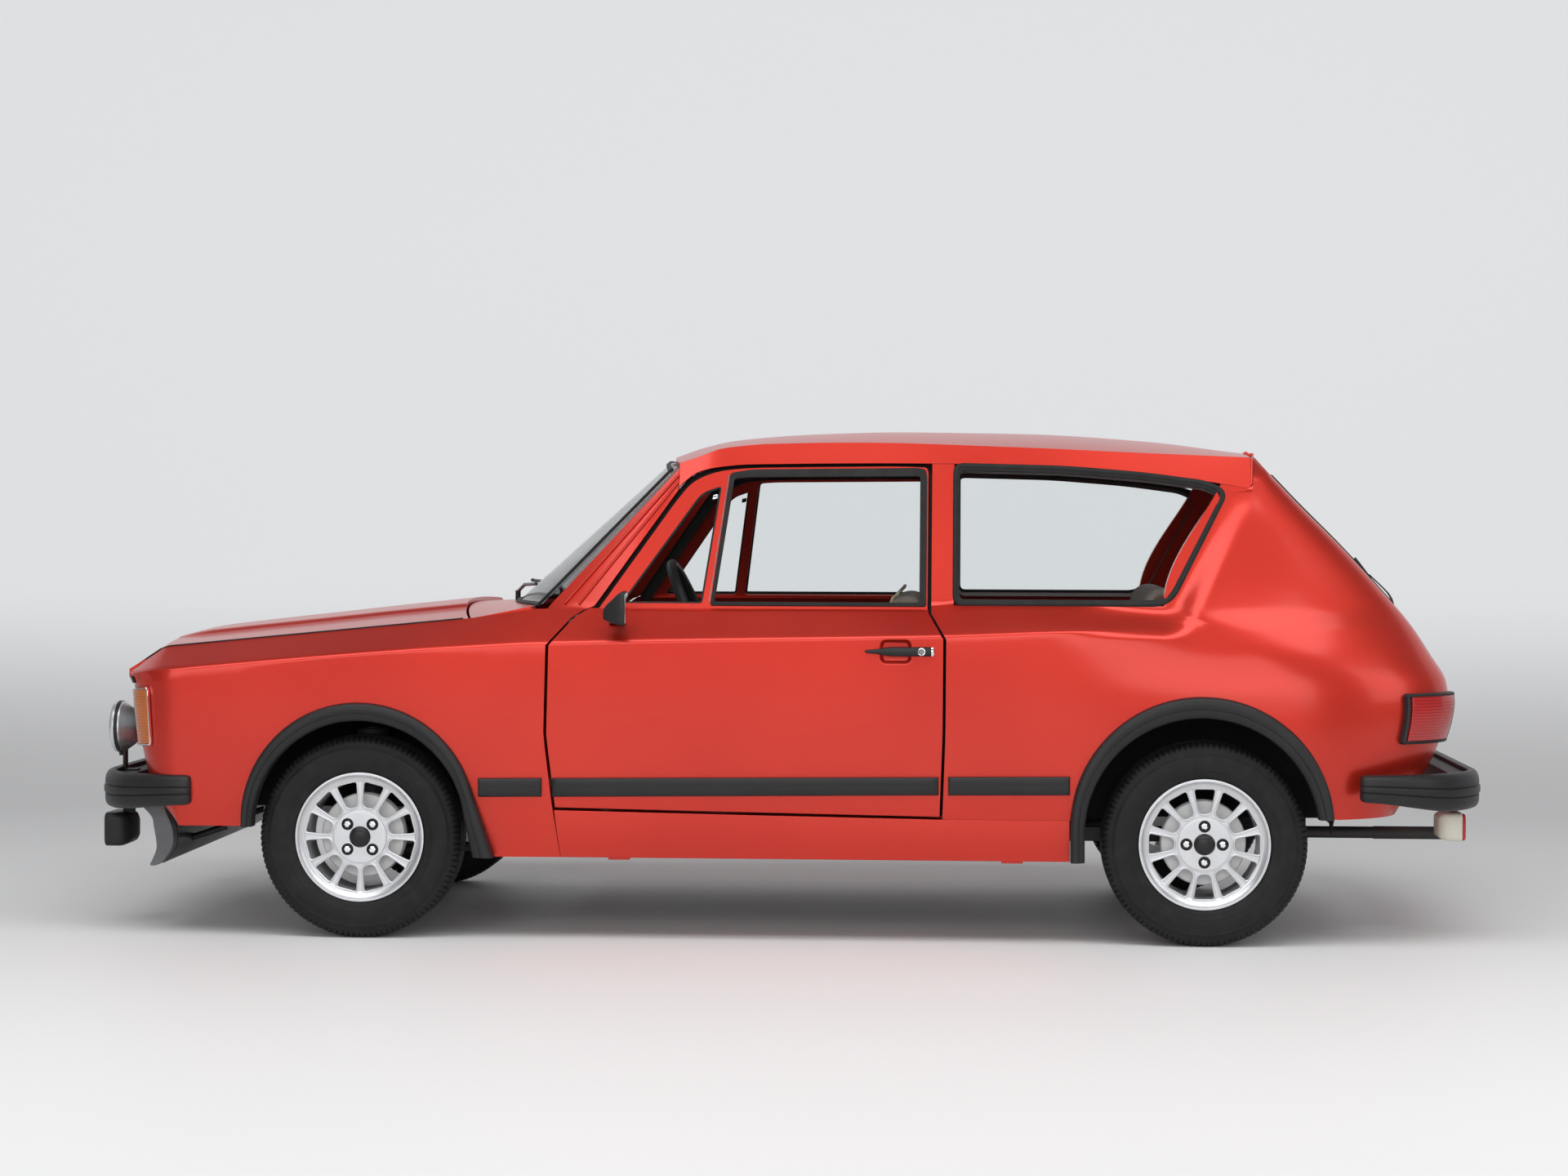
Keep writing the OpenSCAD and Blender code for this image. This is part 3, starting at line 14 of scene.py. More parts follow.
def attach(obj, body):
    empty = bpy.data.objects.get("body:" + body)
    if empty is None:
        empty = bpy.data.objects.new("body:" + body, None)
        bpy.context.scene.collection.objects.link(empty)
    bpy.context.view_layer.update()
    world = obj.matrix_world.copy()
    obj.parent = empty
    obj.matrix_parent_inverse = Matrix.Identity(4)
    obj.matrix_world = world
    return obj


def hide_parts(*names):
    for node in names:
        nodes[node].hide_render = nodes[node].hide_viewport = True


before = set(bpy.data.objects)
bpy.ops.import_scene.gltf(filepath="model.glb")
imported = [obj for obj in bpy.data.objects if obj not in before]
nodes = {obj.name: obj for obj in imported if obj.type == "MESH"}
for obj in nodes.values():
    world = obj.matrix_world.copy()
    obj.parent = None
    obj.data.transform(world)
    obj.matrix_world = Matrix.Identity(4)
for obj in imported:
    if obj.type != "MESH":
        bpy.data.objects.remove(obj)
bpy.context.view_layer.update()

MM = 0.001
PANEL_EDGE, PANEL_SMOOTH = 1.6, 40
SIDES = (("left", -1), ("right", 1))

# Finishes


def operator(operation, swapped=False):
    def apply(self, other):
        first, second = (other, self) if swapped else (self, other)
        return self.finish.node("ShaderNodeMath", {"operation": operation}, {0: first, 1: second})
    return apply


class Value:
    """A shader socket that takes part in Python expressions; each operator adds one Math node."""

    def __init__(self, finish, socket):
        self.finish = finish
        self.socket = socket

    __add__, __radd__ = operator("ADD"), operator("ADD", True)
    __sub__, __rsub__ = operator("SUBTRACT"), operator("SUBTRACT", True)
    __mul__, __rmul__ = operator("MULTIPLY"), operator("MULTIPLY", True)
    __pow__, __rpow__ = operator("POWER"), operator("POWER", True)


class Finish:
    """A node material around one Principled shader, whose constants are set on its own sockets."""

    def __init__(self, name, colour, roughness, **constants):
        self.material = bpy.data.materials.new(name)
        self.material.use_nodes = True
        self.tree = self.material.node_tree
        self.shader = self.tree.nodes["Principled BSDF"]
        self.feed("Base Color", (*colour, 1))
        self.feed("Roughness", roughness)
        for socket, value in constants.items():
            self.feed(socket.replace("_", " ").title().replace("Ior", "IOR"), value)
        self.material.diffuse_color = (*colour, 1)

    def put(self, socket, value):
        if isinstance(value, Value):
            self.tree.links.new(value.socket, socket)
        else:
            socket.default_value = value

    def feed(self, socket, value):
        self.put(self.shader.inputs[socket], value)

    def node(self, kind, settings=None, sockets=None, output=0):
        made = self.tree.nodes.new(kind)
        for key, value in (settings or {}).items():
            setattr(made, key, value)
        for key, value in (sockets or {}).items():
            self.put(made.inputs[key], value)
        return Value(self, made.outputs[output])

    def place(self):
        return self.node("ShaderNodeTexCoord", output="Object")

    def noise(self, scale, detail=2.0, stretch=None):
        at = self.place()
        if stretch:
            at = self.node("ShaderNodeVectorMath", {"operation": "MULTIPLY"}, {0: at, 1: stretch})
        return self.node("ShaderNodeTexNoise", None, {"Vector": at, "Scale": scale, "Detail": detail})

    def cells(self, scale):
        return self.node("ShaderNodeTexVoronoi", None, {"Vector": self.place(), "Scale": scale})

    def shades(self, share, first, second):
        self.feed("Base Color", self.node("ShaderNodeMix", {"data_type": "RGBA"},
                                          {0: share, 6: (*first, 1), 7: (*second, 1)}, output=2))

    def bump(self, height, strength, distance):
        self.feed("Normal", self.node("ShaderNodeBump", None,
                                      {"Strength": strength, "Distance": distance, "Height": height}))


def paint_finish():
    """Red metallic lacquer: fine flake under a clear coat, with a faint unevenness of hand spraying."""
    finish = Finish("red_paint", (0.5, 0.012, 0.008), 0.36, metallic=0.66, coat_weight=0.5, coat_roughness=0.16)
    flake = finish.cells(1500)
    cloud = finish.noise(2.2, 3)
    finish.shades(cloud * 0.6 + flake * 0.6, (0.45, 0.012, 0.006), (0.68, 0.034, 0.014))
    finish.feed("Roughness", cloud * 0.1 + 0.33)
    finish.bump(finish.noise(160, 1), 0.02, 0.0006)
    return finish.material


def plastic_finish(name, colour, roughness, grain=420, depth=0.16):
    """Moulded plastic with a fine leather-like grain and slightly greyed patches."""
    finish = Finish(name, colour, roughness, specular_ior_level=0.3)
    worn = finish.noise(9, 4)
    grey = tuple(min(1, c * 1.7 + 0.006) for c in colour)
    finish.shades(worn ** 2, colour, grey)
    finish.feed("Roughness", worn * 0.16 + (roughness - 0.06))
    finish.bump(finish.cells(grain), depth, 0.0005)
    return finish.material


def rubber_finish(name, colour, roughness):
    finish = Finish(name, colour, roughness, specular_ior_level=0.22)
    dust = finish.noise(24, 5)
    finish.shades(dust ** 3, colour, tuple(c * 2.6 + 0.01 for c in colour))
    finish.feed("Roughness", dust * 0.2 + (roughness - 0.1))
    finish.bump(finish.noise(300, 3), 0.12, 0.0006)
    return finish.material


def metal_finish(name, colour, roughness, grain=200, depth=0.03, metallic=1.0, coat=0.0):
    finish = Finish(name, colour, roughness, metallic=metallic, coat_weight=coat)
    mottle = finish.noise(18, 4)
    finish.shades(mottle, tuple(c * 0.86 for c in colour), colour)
    finish.feed("Roughness", mottle * 0.16 + (roughness - 0.08))
    finish.bump(finish.noise(grain, 2), depth, 0.0005)
    return finish.material


def window_finish(name, tint, strength):
    """Clear pane: light passes through it, and only the gloss of its surface shows."""
    finish = Finish(name, tint, 0.02)
    smear = finish.noise(5, 3)
    gloss = finish.node("ShaderNodeBsdfGlossy", None, {"Color": (1, 1, 1, 1), "Roughness": 0.015})
    clear = finish.node("ShaderNodeBsdfTransparent", None, {"Color": (*tint, 1)})
    rim = finish.node("ShaderNodeLayerWeight", None, {"Blend": strength}, output="Fresnel")
    pane = finish.node("ShaderNodeMixShader", None, {0: rim * (smear * 0.3 + 0.7), 1: clear, 2: gloss})
    finish.put(finish.tree.nodes["Material Output"].inputs["Surface"], pane)
    return finish.material


def lens_finish(name, colour, deep, shine=0.4):
    """Moulded lamp lens: coloured through, with fine vertical flutes under a glossy face."""
    finish = Finish(name, colour, 0.16, coat_weight=0.6, coat_roughness=0.1, transmission_weight=shine, ior=1.49)
    flutes = finish.node("ShaderNodeTexWave", {"wave_type": "BANDS", "bands_direction": "Z"},
                         {"Vector": finish.place(), "Scale": 38.0, "Distortion": 0.0})
    finish.shades(flutes * 0.6 + finish.noise(30) * 0.4, deep, colour)
    finish.bump(flutes, 0.25, 0.0012)
    return finish.material


def cloth_finish(name, colour, light):
    """Ribbed seat cloth: two crossing threads and a soft mottled tone."""
    finish = Finish(name, colour, 0.9, sheen_weight=0.35)
    warp = finish.node("ShaderNodeTexWave", {"bands_direction": "Y"},
                       {"Vector": finish.place(), "Scale": 95.0, "Distortion": 0.6})
    weft = finish.node("ShaderNodeTexWave", {"bands_direction": "X"},
                       {"Vector": finish.place(), "Scale": 160.0, "Distortion": 0.4})
    weave = warp * 0.6 + weft * 0.4
    finish.shades(weave * 0.6 + finish.noise(14, 4) * 0.4, colour, light)
    finish.bump(weave, 0.5, 0.0012)
    return finish.material


PAINT = paint_finish()
BLACK = plastic_finish("black_moulding", (0.014, 0.014, 0.015), 0.42)
SATIN = plastic_finish("satin_black_paint", (0.012, 0.012, 0.013), 0.3, 700, 0.05)
RUBBER = rubber_finish("window_rubber", (0.012, 0.012, 0.012), 0.55)
TYRE = rubber_finish("tyre_rubber", (0.009, 0.009, 0.0095), 0.55)
UNDERSEAL = rubber_finish("black_underseal", (0.005, 0.005, 0.005), 0.85)
ALLOY = metal_finish("alloy_silver", (0.74, 0.75, 0.77), 0.36, 320, 0.03, 0.85)
BRIGHT = metal_finish("bright_plating", (0.86, 0.87, 0.88), 0.12)
STEEL = metal_finish("underbody_steel", (0.05, 0.05, 0.055), 0.62, 90, 0.2, 0.3)
DRUM = metal_finish("brake_drum_grey", (0.78, 0.78, 0.77), 0.5, 120, 0.1, 0.1)
PIPE = metal_finish("exhaust_steel", (0.055, 0.052, 0.05), 0.6, 70, 0.3, 0.5)
CAST = metal_finish("cast_engine_alloy", (0.42, 0.42, 0.42), 0.6, 140, 0.3, 0.7)
GREY = plastic_finish("grey_spoiler_plastic", (0.12, 0.125, 0.13), 0.45, 300, 0.1)
PALE = plastic_finish("pale_lamp_plastic", (0.55, 0.54, 0.46), 0.5, 300, 0.08)
GLASS = window_finish("window_glass", (0.97, 0.98, 0.98), 0.1)
AMBER = lens_finish("amber_lens", (0.95, 0.26, 0.01), (0.6, 0.12, 0.005))
RED = lens_finish("red_lens", (0.52, 0.012, 0.01), (0.28, 0.005, 0.005), 0.0)
CLEAR = lens_finish("clear_lens", (0.86, 0.88, 0.88), (0.6, 0.63, 0.65), 0.6)
CLOTH = cloth_finish("brown_seat_cloth", (0.075, 0.035, 0.02), (0.16, 0.085, 0.05))
VINYL = plastic_finish("black_vinyl", (0.016, 0.015, 0.015), 0.5, 260, 0.3)
LINING = cloth_finish("dark_red_lining", (0.05, 0.012, 0.012), (0.085, 0.022, 0.02))
TAN = cloth_finish("tan_seat_cloth", (0.13, 0.085, 0.05), (0.25, 0.18, 0.11))
PIPING = cloth_finish("beige_piping", (0.26, 0.21, 0.14), (0.4, 0.34, 0.24))
CARPET = cloth_finish("dark_carpet", (0.012, 0.011, 0.011), (0.028, 0.025, 0.024))

# Meshes


def piece(name, shape, finish, body, edge=0.0, smooth=34, stands_for=()):
    """One shown mesh from (points in mm, faces): welded, smooth up to an angle, edges rounded by edge mm."""
    points, faces = shape
    mesh = bpy.data.meshes.new(name)
    mesh.from_pydata([Vector(p) * MM for p in points], [], faces)
    work = bmesh.new()
    work.from_mesh(mesh)
    bmesh.ops.remove_doubles(work, verts=work.verts, dist=2e-5)
    bmesh.ops.dissolve_degenerate(work, edges=work.edges, dist=1e-5)
    bmesh.ops.recalc_face_normals(work, faces=work.faces)
    work.to_mesh(mesh)
    work.free()
    mesh.shade_smooth()
    if not edge:
        mesh.set_sharp_from_angle(angle=math.radians(smooth))
    made = bpy.data.objects.new(name, mesh)
    bpy.context.scene.collection.objects.link(made)
    mesh.materials.append(finish)
    if edge:
        bevel = made.modifiers.new("rounded_edges", "BEVEL")
        bevel.width = edge * MM
        bevel.segments = 2
        bevel.limit_method = "ANGLE"
        bevel.angle_limit = math.radians(smooth)
        bevel.harden_normals = True
        bevel.use_clamp_overlap = True
    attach(made, body)
    if stands_for:
        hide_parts(*stands_for)
    return made


def panel(name, shape, node, body="body"):
    """A painted body panel that stands for one node."""
    piece(name, shape, PAINT, body, PANEL_EDGE, PANEL_SMOOTH, (node,))


def joined(*shapes):
    points, faces = [], []
    for shape_points, shape_faces in shapes:
        start = len(points)
        points += [tuple(p) for p in shape_points]
        faces += [[start + i for i in face] for face in shape_faces]
    return points, faces


def moved(shape, change):
    return [change(p) for p in shape[0]], shape[1]


def mirrored(shape):
    return joined(shape, moved(shape, lambda p: (p[0], -p[1], p[2])))


def on_side(shape, side):
    """A shape drawn for the left side, put on the left (-1) or the right (1)."""
    return moved(shape, lambda p: (p[0], -side * p[1], p[2]))


def plate(outer, inner, open_cells=()):
    """Closed plate between an outer and an inner grid of points, without the cells in open_cells."""
    across, rows = len(outer), len(outer[0])
    count = across * rows

    def kept(i, j):
        inside = 0 <= i < across - 1 and 0 <= j < rows - 1
        return inside and not any(a <= i < b and c <= j < d for a, b, c, d in open_cells)

    faces = []
    for i in range(across - 1):
        for j in range(rows - 1):
            if not kept(i, j):
                continue
            a, b, c, d = i * rows + j, i * rows + j + 1, (i + 1) * rows + j + 1, (i + 1) * rows + j
            faces += [(a, b, c, d), (d + count, c + count, b + count, a + count)]
            for near, p, q in ((kept(i - 1, j), a, b), (kept(i, j + 1), b, c),
                               (kept(i + 1, j), c, d), (kept(i, j - 1), d, a)):
                if not near:
                    faces.append((q, p, p + count, q + count))
    return [p for r in outer for p in r] + [p for r in inner for p in r], faces


def lathe(profile, turns=64, closed=False):
    """Turns (radius, height) rows about the Z axis."""
    points, faces = [], []
    n = len(profile)
    for k in range(turns):
        angle = 2 * math.pi * k / turns
        points += [(r * math.cos(angle), r * math.sin(angle), h) for r, h in profile]
    for k in range(turns):
        k2 = (k + 1) % turns
        for j in range(n if closed else n - 1):
            j2 = (j + 1) % n
            faces.append((k * n + j, k2 * n + j, k2 * n + j2, k * n + j2))
    return points, faces


def loft(rings, closed=False):
    """Skin over a row of closed rings with the same number of points."""
    n, m = len(rings), len(rings[0])
    faces = []
    for k in range(n if closed else n - 1):
        k2 = (k + 1) % n
        for j in range(m):
            j2 = (j + 1) % m
            faces.append((k * m + j, k * m + j2, k2 * m + j2, k2 * m + j))
    if not closed:
        faces += [tuple(range(m - 1, -1, -1)), tuple((n - 1) * m + j for j in range(m))]
    return [p for ring in rings for p in ring], faces


def sweep(section, path, closed=False, up=(0, 0, 1)):
    """Carries a closed section of (side, up) rows along a path of points."""
    path = [Vector(p) for p in path]
    n, up, rings = len(path), Vector(up), []
    for k, p in enumerate(path):
        before = path[k - 1] if k or closed else p
        after = path[(k + 1) % n] if k < n - 1 or closed else p
        ahead = (after - before).normalized()
        side = ahead.cross(up).normalized()
        lift = side.cross(ahead)
        stretch = 1.0
        if 0 < k < n - 1 or closed:
            bend = (p - before).normalized().dot((after - p).normalized())
            stretch = 1 / max(0.5, math.sqrt(max(0, (1 + bend) / 2)))
        rings.append([p + side * s * stretch + lift * t for s, t in section])
    return loft(rings, closed)


def circle(r, steps=12):
    return [(r * math.cos(2 * math.pi * k / steps), r * math.sin(2 * math.pi * k / steps)) for k in range(steps)]


def smooth_path(points, steps=6, closed=False):
    """Runs a smooth line through the points."""
    points = [Vector(p) for p in points]
    n = len(points)
    line = []
    for k in range(n if closed else n - 1):
        a = points[(k - 1) % n] if k or closed else points[k]
        b, c = points[k], points[(k + 1) % n]
        d = points[(k + 2) % n] if k < n - 2 or closed else c
        for s in range(steps):
            t = s / steps
            line.append(0.5 * (2 * b + (c - a) * t + (2 * a - 5 * b + 4 * c - d) * t * t
                               + (3 * b - a - 3 * c + d) * t ** 3))
    return line if closed else line + [points[-1]]


def rounded(outline, radius, steps=5):
    """Rounds the corners of a closed outline of (x, y) rows; radius is one number or one per corner."""
    n = len(outline)
    line = []
    for k in range(n):
        r = radius[k] if isinstance(radius, (list, tuple)) else radius
        p = Vector(outline[k])
        a, b = Vector(outline[k - 1]) - p, Vector(outline[(k + 1) % n]) - p
        reach = min(r, a.length * 0.49, b.length * 0.49)
        start, end = p + a.normalized() * reach, p + b.normalized() * reach
        for s in range(steps + 1):
            t = s / steps
            line.append(tuple(start * (1 - t) ** 2 + p * 2 * t * (1 - t) + end * t * t))
    return line


def oblong(half_a, half_b, corner):
    """Closed outline of a rectangle with round corners about (0, 0)."""
    return rounded([(-half_a, -half_b), (half_a, -half_b), (half_a, half_b), (-half_a, half_b)], corner)


def shell(outline, y, z, rows):
    """Skin along X over an outline about (y, z), with rows of (x, scale)."""
    return loft([[(x, y + a * scale, z + b * scale) for a, b in outline] for x, scale in rows])


def border(point, *runs):
    """Points along straight runs in the two coordinates of a surface, each run (start, end, steps)."""
    return [point(mix(a, c, t), mix(b, d, t)) for (a, b), (c, d), steps in runs for t in span(0, 1, steps)]


def prism(outline, low, high, place, rim=0.0):
    """Extrudes a closed outline from low to high, with a rounded rim on the high side; place maps (x, y, h)."""
    centre = sum((Vector(p) for p in outline), Vector((0, 0))) / len(outline)
    levels = [(0, low), (0, high - rim)]
    if rim:
        levels += [(rim * (1 - math.cos(a)), high - rim * (1 - math.sin(a))) for a in (0.52, 1.05, 1.57)]
    rings = []
    for inset, h in levels:
        rings.append([])
        for q in map(Vector, outline):
            toward = centre - q
            q = q + toward.normalized() * min(inset, toward.length * 0.9)
            rings[-1].append(place(q.x, q.y, h))
    return loft(rings)


def box(low, high):
    (a, b, c), (d, e, f) = low, high
    points = [(a, b, c), (d, b, c), (d, e, c), (a, e, c), (a, b, f), (d, b, f), (d, e, f), (a, e, f)]
    return points, [(3, 2, 1, 0), (4, 5, 6, 7), (0, 1, 5, 4), (1, 2, 6, 5), (2, 3, 7, 6), (3, 0, 4, 7)]


def dress(finish, *names):
    """Gives a finish to CAD nodes that are shown as they are."""
    for name in names:
        materials = nodes[name].data.materials
        materials.clear()
        materials.append(finish)


# Body lines, the same as in the part's source


def mix(a, b, t):
    return a + (b - a) * t


def ease(t):
    t = min(1, max(0, t))
    return t * t * (3 - 2 * t)


class Line:
    """Reads a table of (place, value) rows, straight between the rows or as a smooth curve through them."""

    def __init__(self, rows, smooth=True):
        self.rows = rows
        steps = [(b[1] - a[1]) / (b[0] - a[0]) for a, b in zip(rows, rows[1:])]
        inner = [2 * p * q / (p + q) if p * q > 0 else 0 for p, q in zip(steps, steps[1:])]
        self.slopes = [steps[0]] + inner + [steps[-1]] if smooth else None

    def __call__(self, place):
        rows = self.rows
        if place <= rows[0][0]:
            return rows[0][1]
        for k in range(len(rows) - 1):
            (a, u), (b, v) = rows[k], rows[k + 1]
            if place <= b:
                t = (place - a) / (b - a)
                if not self.slopes:
                    return mix(u, v, t)
                p, q = self.slopes[k] * (b - a), self.slopes[k + 1] * (b - a)
                return (u * (1 + 2 * t) * (1 - t) ** 2 + p * t * (1 - t) ** 2
                        + v * t * t * (3 - 2 * t) + q * t * t * (t - 1))
        return rows[-1][1]


HALF_WIDTH, SILL_Z, WAIST_Z, ROOF_Z = 780, 235, 935, 1445
FRONT_X, REAR_X, WHEEL_Y, TYRE_R = -1182.5, 1182.5, 665, 285
SHUT_GAP, SEAT_GAP, PANEL_T = 8, 0.3, 24
SILL_CREASE_Z, SIDE_LEAN, SILL_TUCK, SIDE_CROWN = 385, 12, 23, 4
EDGE_Y = HALF_WIDTH - 112
TILT = math.radians(14.7)
TAIL_Y, NOSE_Y, ROOF_BACK_X = EDGE_Y - 168, HALF_WIDTH - 140, 1318

crease_line = Line([(-1860, 741), (-1757, 753), (-654, 836), (456, 862), (981, 877), (1300, 860), (1500, 800),
                    (1880, 733)])
bonnet_line = Line([(-1860, 750), (-1757, 815), (-880, 901), (-690, 930), (-560, WAIST_Z)], smooth=False)
rail_line = Line([(-330, 1235), (-297, 1274), (-240, 1318), (-184, 1331), (-91, 1339), (326, 1343), (787, 1336),
                  (1017, 1318), (1201, 1293), (1320, 1272)])
gutter_line = Line([(-330, 1332), (-233, 1364), (-173, 1385), (-30, 1398), (207, 1402), (649, 1390),
                    (1017, 1374), (1320, 1362)])
roof_line = Line([(-350, 1366), (-254, 1400), (-155, 1420), (67, 1438), (313, ROOF_Z), (681, ROOF_Z - 4),
                  (1047, ROOF_Z - 26), (1320, 1384)])
door_bottom_line = Line([(-640, 377), (-120, 368), (460, 359)])
tail_line = Line([(350, 1728), (388, 1752), (526, 1842), (678, 1882), (735, 1873), (806, 1831), (895, 1772),
                  (1002, 1679), (1104, 1585), (1244, 1445), (1372, 1324)])
nose_line = Line([(312, -1700), (400, -1790), (540, -1822), (700, -1838), (745, -1858), (760, -1852)], smooth=False)
door_front_line = Line([(235, -608), (385, -630), (579, -653), (830, -647), (906, -584), (935, -540)], smooth=False)
door_rear_line = Line([(235, 448), (351, 448), (587, 456), (852, 457), (922, 414), (1340, 414)], smooth=False)
quarter_round_line = Line([(235, 1420), (700, 1400), (877, 1230), (945, 1092), (1259, 1255), (1300, 1276),
                           (1400, 1290)])
tail_side_line = Line([(235, 35), (385, 13), (600, 4), (700, 8), (800, 25), (900, 58), (1000, 96), (1100, 132),
                       (1200, 167), (1272, 195), (1366, 224)])
TAIL_FADE_X, TAIL_FADE, RECESS_W, WINDOW_BASE_Z, WINDOW_ROUND = 700, 560, 45, 944, 45
WINDOW_BACK_X, HAUNCH_X, HAUNCH_FADE, HAUNCH_WIDE, CREASE_SOFT = 1092, 760, 300, 1.35, 0.06
WINDOW_EDGE = (Vector((484, WINDOW_BASE_Z)), Vector((WINDOW_BACK_X, WINDOW_BASE_Z)), Vector((1255, 1259)))


def side_half(z, crease):
    """Half width of the body side at a height, given the height of the shoulder crease there."""
    if z > WAIST_Z:
        return EDGE_Y - (z - WAIST_Z) * math.tan(TILT)
    if z > crease:
        return mix(HALF_WIDTH, EDGE_Y, (z - crease) / (WAIST_Z - crease))
    if z < SILL_CREASE_Z:
        return HALF_WIDTH - SIDE_LEAN - SILL_TUCK * (SILL_CREASE_Z - z) / (SILL_CREASE_Z - SILL_Z)
    t = (crease - z) / (crease - SILL_CREASE_Z)
    return HALF_WIDTH - SIDE_LEAN * t + SIDE_CROWN * 4 * t * (1 - t)


def edge_way(p, a, b):
    d = b - a
    return p - a - d * min(1, max(0, (p - a).dot(d) / d.dot(d)))


def window_dist(x, z):
    """Distance outside the window behind the door in side view, its corner rounded, and how far that points down."""
    p, (a, b, c) = Vector((x, z)), WINDOW_EDGE
    if x < a.x:
        return max(0, b.y - z), 1
    along = (c - b).normalized()
    a, b, c = (a + WINDOW_ROUND * Vector((0, 1)), b + WINDOW_ROUND * Vector(((along.x - 1) / along.y, 1)),
               c + WINDOW_ROUND * Vector((-along.y, along.x)))
    if p.y >= b.y and along.x * (p - b).y - along.y * (p - b).x >= 0:
        return 0, 0
    way = min(edge_way(p, a, b), edge_way(p, b, c), key=lambda w: w.length)
    return max(0, way.length - WINDOW_ROUND), max(0, -way.y) / max(way.length, 1e-6)


def tail_half(x, z, crease):
    """Half width behind the doors: the shoulder leads round the window as a pressed recess, softer to the rear."""
    outer = mix(side_half(min(z, crease), crease), HALF_WIDTH - tail_side_line(z), ease((x - TAIL_FADE_X) / TAIL_FADE))
    far, below = window_dist(x, z)
    short = 1 - far / mix(RECESS_W, WINDOW_BASE_Z - crease, below)
    base = (1 + math.sqrt(1 + CREASE_SOFT * CREASE_SOFT)) / 2
    share = 1 - (short + math.sqrt(short * short + CREASE_SOFT * CREASE_SOFT)) / 2 / base
    wide = mix(RECESS_W, WINDOW_BASE_Z - crease_line(min(x, WINDOW_BACK_X)), below) * HAUNCH_WIDE
    share = mix(share, ease(far / wide), ease((x - HAUNCH_X) / HAUNCH_FADE))
    return mix(EDGE_Y - (max(z, WINDOW_BASE_Z) - WAIST_Z) * math.tan(TILT), outer, share)


def holed(outlines, low, high, place):
    """Flat plate with holes: the first outline is the edge and the others are holes; place maps (x, y, h)."""
    flat = [p for outline in outlines for p in outline]
    n = len(flat)
    top = tessellate_polygon([[Vector((*p, 0)) for p in outline] for outline in outlines])
    faces = [tuple(i + n for i in face) for face in top] + [tuple(reversed(face)) for face in top]
    start = 0
    for outline in outlines:
        m = len(outline)
        faces += [(start + j, start + (j + 1) % m, start + (j + 1) % m + n, start + j + n) for j in range(m)]
        start += m
    return [place(*p, low) for p in flat] + [place(*p, high) for p in flat], faces


def span(a, b, steps):
    return [mix(a, b, k / steps) for k in range(steps + 1)]


# Painted panels

FRONT_ARCH, REAR_ARCH = (FRONT_X + 4, 335, 331.6, 300), (REAR_X - 10, 335, 362.6, 323)
WING_CORNER_X, WING_LOW_Z, WING_IN = -1690, 316, 42
BONNET_FRONT_X, BONNET_BACK_X = -1858, -885
TAIL_ANGLE = math.radians(18)
TAIL_END_X = FRONT_ARCH[0] + 331 * math.cos(TAIL_ANGLE) + (
    FRONT_ARCH[1] + 331 * math.sin(TAIL_ANGLE) - SILL_Z) * math.tan(TAIL_ANGLE)


def arch_top(arch, x):
    return arch[1] + math.sqrt(max(0, arch[2] ** 2 - (x - arch[0]) ** 2))


def wing_bottom(x):
    if x < FRONT_ARCH[0] - FRONT_ARCH[2] + 0.5:
        return WING_LOW_Z
    return arch_top(FRONT_ARCH, x) if x < TAIL_END_X - 0.5 and x < FRONT_ARCH[0] + FRONT_ARCH[2] else SILL_Z


def panel_rows(low, crease, top, soft=7):
    """Row numbers of a side panel: 0 at the lower edge, 1 at the crease, 2 at the upper edge."""
    if low < SILL_CREASE_Z - 8:
        fold = (SILL_CREASE_Z - low) / (crease - low)
        rows = [0, fold * 0.5, fold - 0.004, fold + 0.004] + span(fold + 0.06, 1, 10)
    else:
        rows = [0, 0.08, 0.16, 0.24] + span(0.32, 1, 10)
    below, above = min(0.3, soft / (crease - low)), min(0.3, soft / max(10, top - crease))
    return rows[:-1], below, above


def fold_rows(point, rows, below, above, upper):
    """One column of a panel: rows up to the crease, its small rounding, and rows above it."""
    a, c, b = point(1 - below), point(1), point(1 + above)
    turn = [tuple((1 - t) ** 2 * p + 2 * t * (1 - t) * q + t * t * r for p, q, r in zip(a, c, b))
            for t in (0, 0.2, 0.4, 0.6, 0.8, 1)]
    lower = [point(v * (1 - below) if v > 1 - below else v) for v in rows]
    return lower + turn + [point(v) for v in upper]


def wing_z(low, x, v):
    crease = crease_line(x)
    return mix(low, crease, v) if v <= 1 else mix(crease, bonnet_line(x), v - 1)


def wing_half(z, x, v, inset):
    if v <= 1:
        return side_half(z, crease_line(x)) - inset
    return mix(HALF_WIDTH, EDGE_Y, v - 1) - inset * (2 - v)


def wing_drop(v, inset):
    return inset * 0.6 * (v - 1) if v > 1 else 0


def wing_corner_point(t, v, inset):
    swing = math.sin(math.pi / 2 * t)
    x = mix(WING_CORNER_X, BONNET_FRONT_X, swing)
    z = wing_z(WING_LOW_Z, x, v)
    front = nose_line(z) + (inset * (2 - v) if v > 1 else inset)
    return (mix(WING_CORNER_X, front, swing), -mix(NOSE_Y, wing_half(z, x, v, inset), math.cos(math.pi / 2 * t)),
            z - wing_drop(v, inset))


def wing_side_point(x, v, inset):
    z = wing_z(wing_bottom(x), x, v)
    return x, -wing_half(z, x, v, inset), z - wing_drop(v, inset)


def wing_end_point(v, inset):
    crease = crease_line(-648)
    z = mix(SILL_Z, crease, v) if v <= 1 else mix(crease, 931, v - 1)
    z -= wing_drop(v, inset)
    return door_front_line(z) - SHUT_GAP / 2, -wing_half(z, -648, v, inset), z


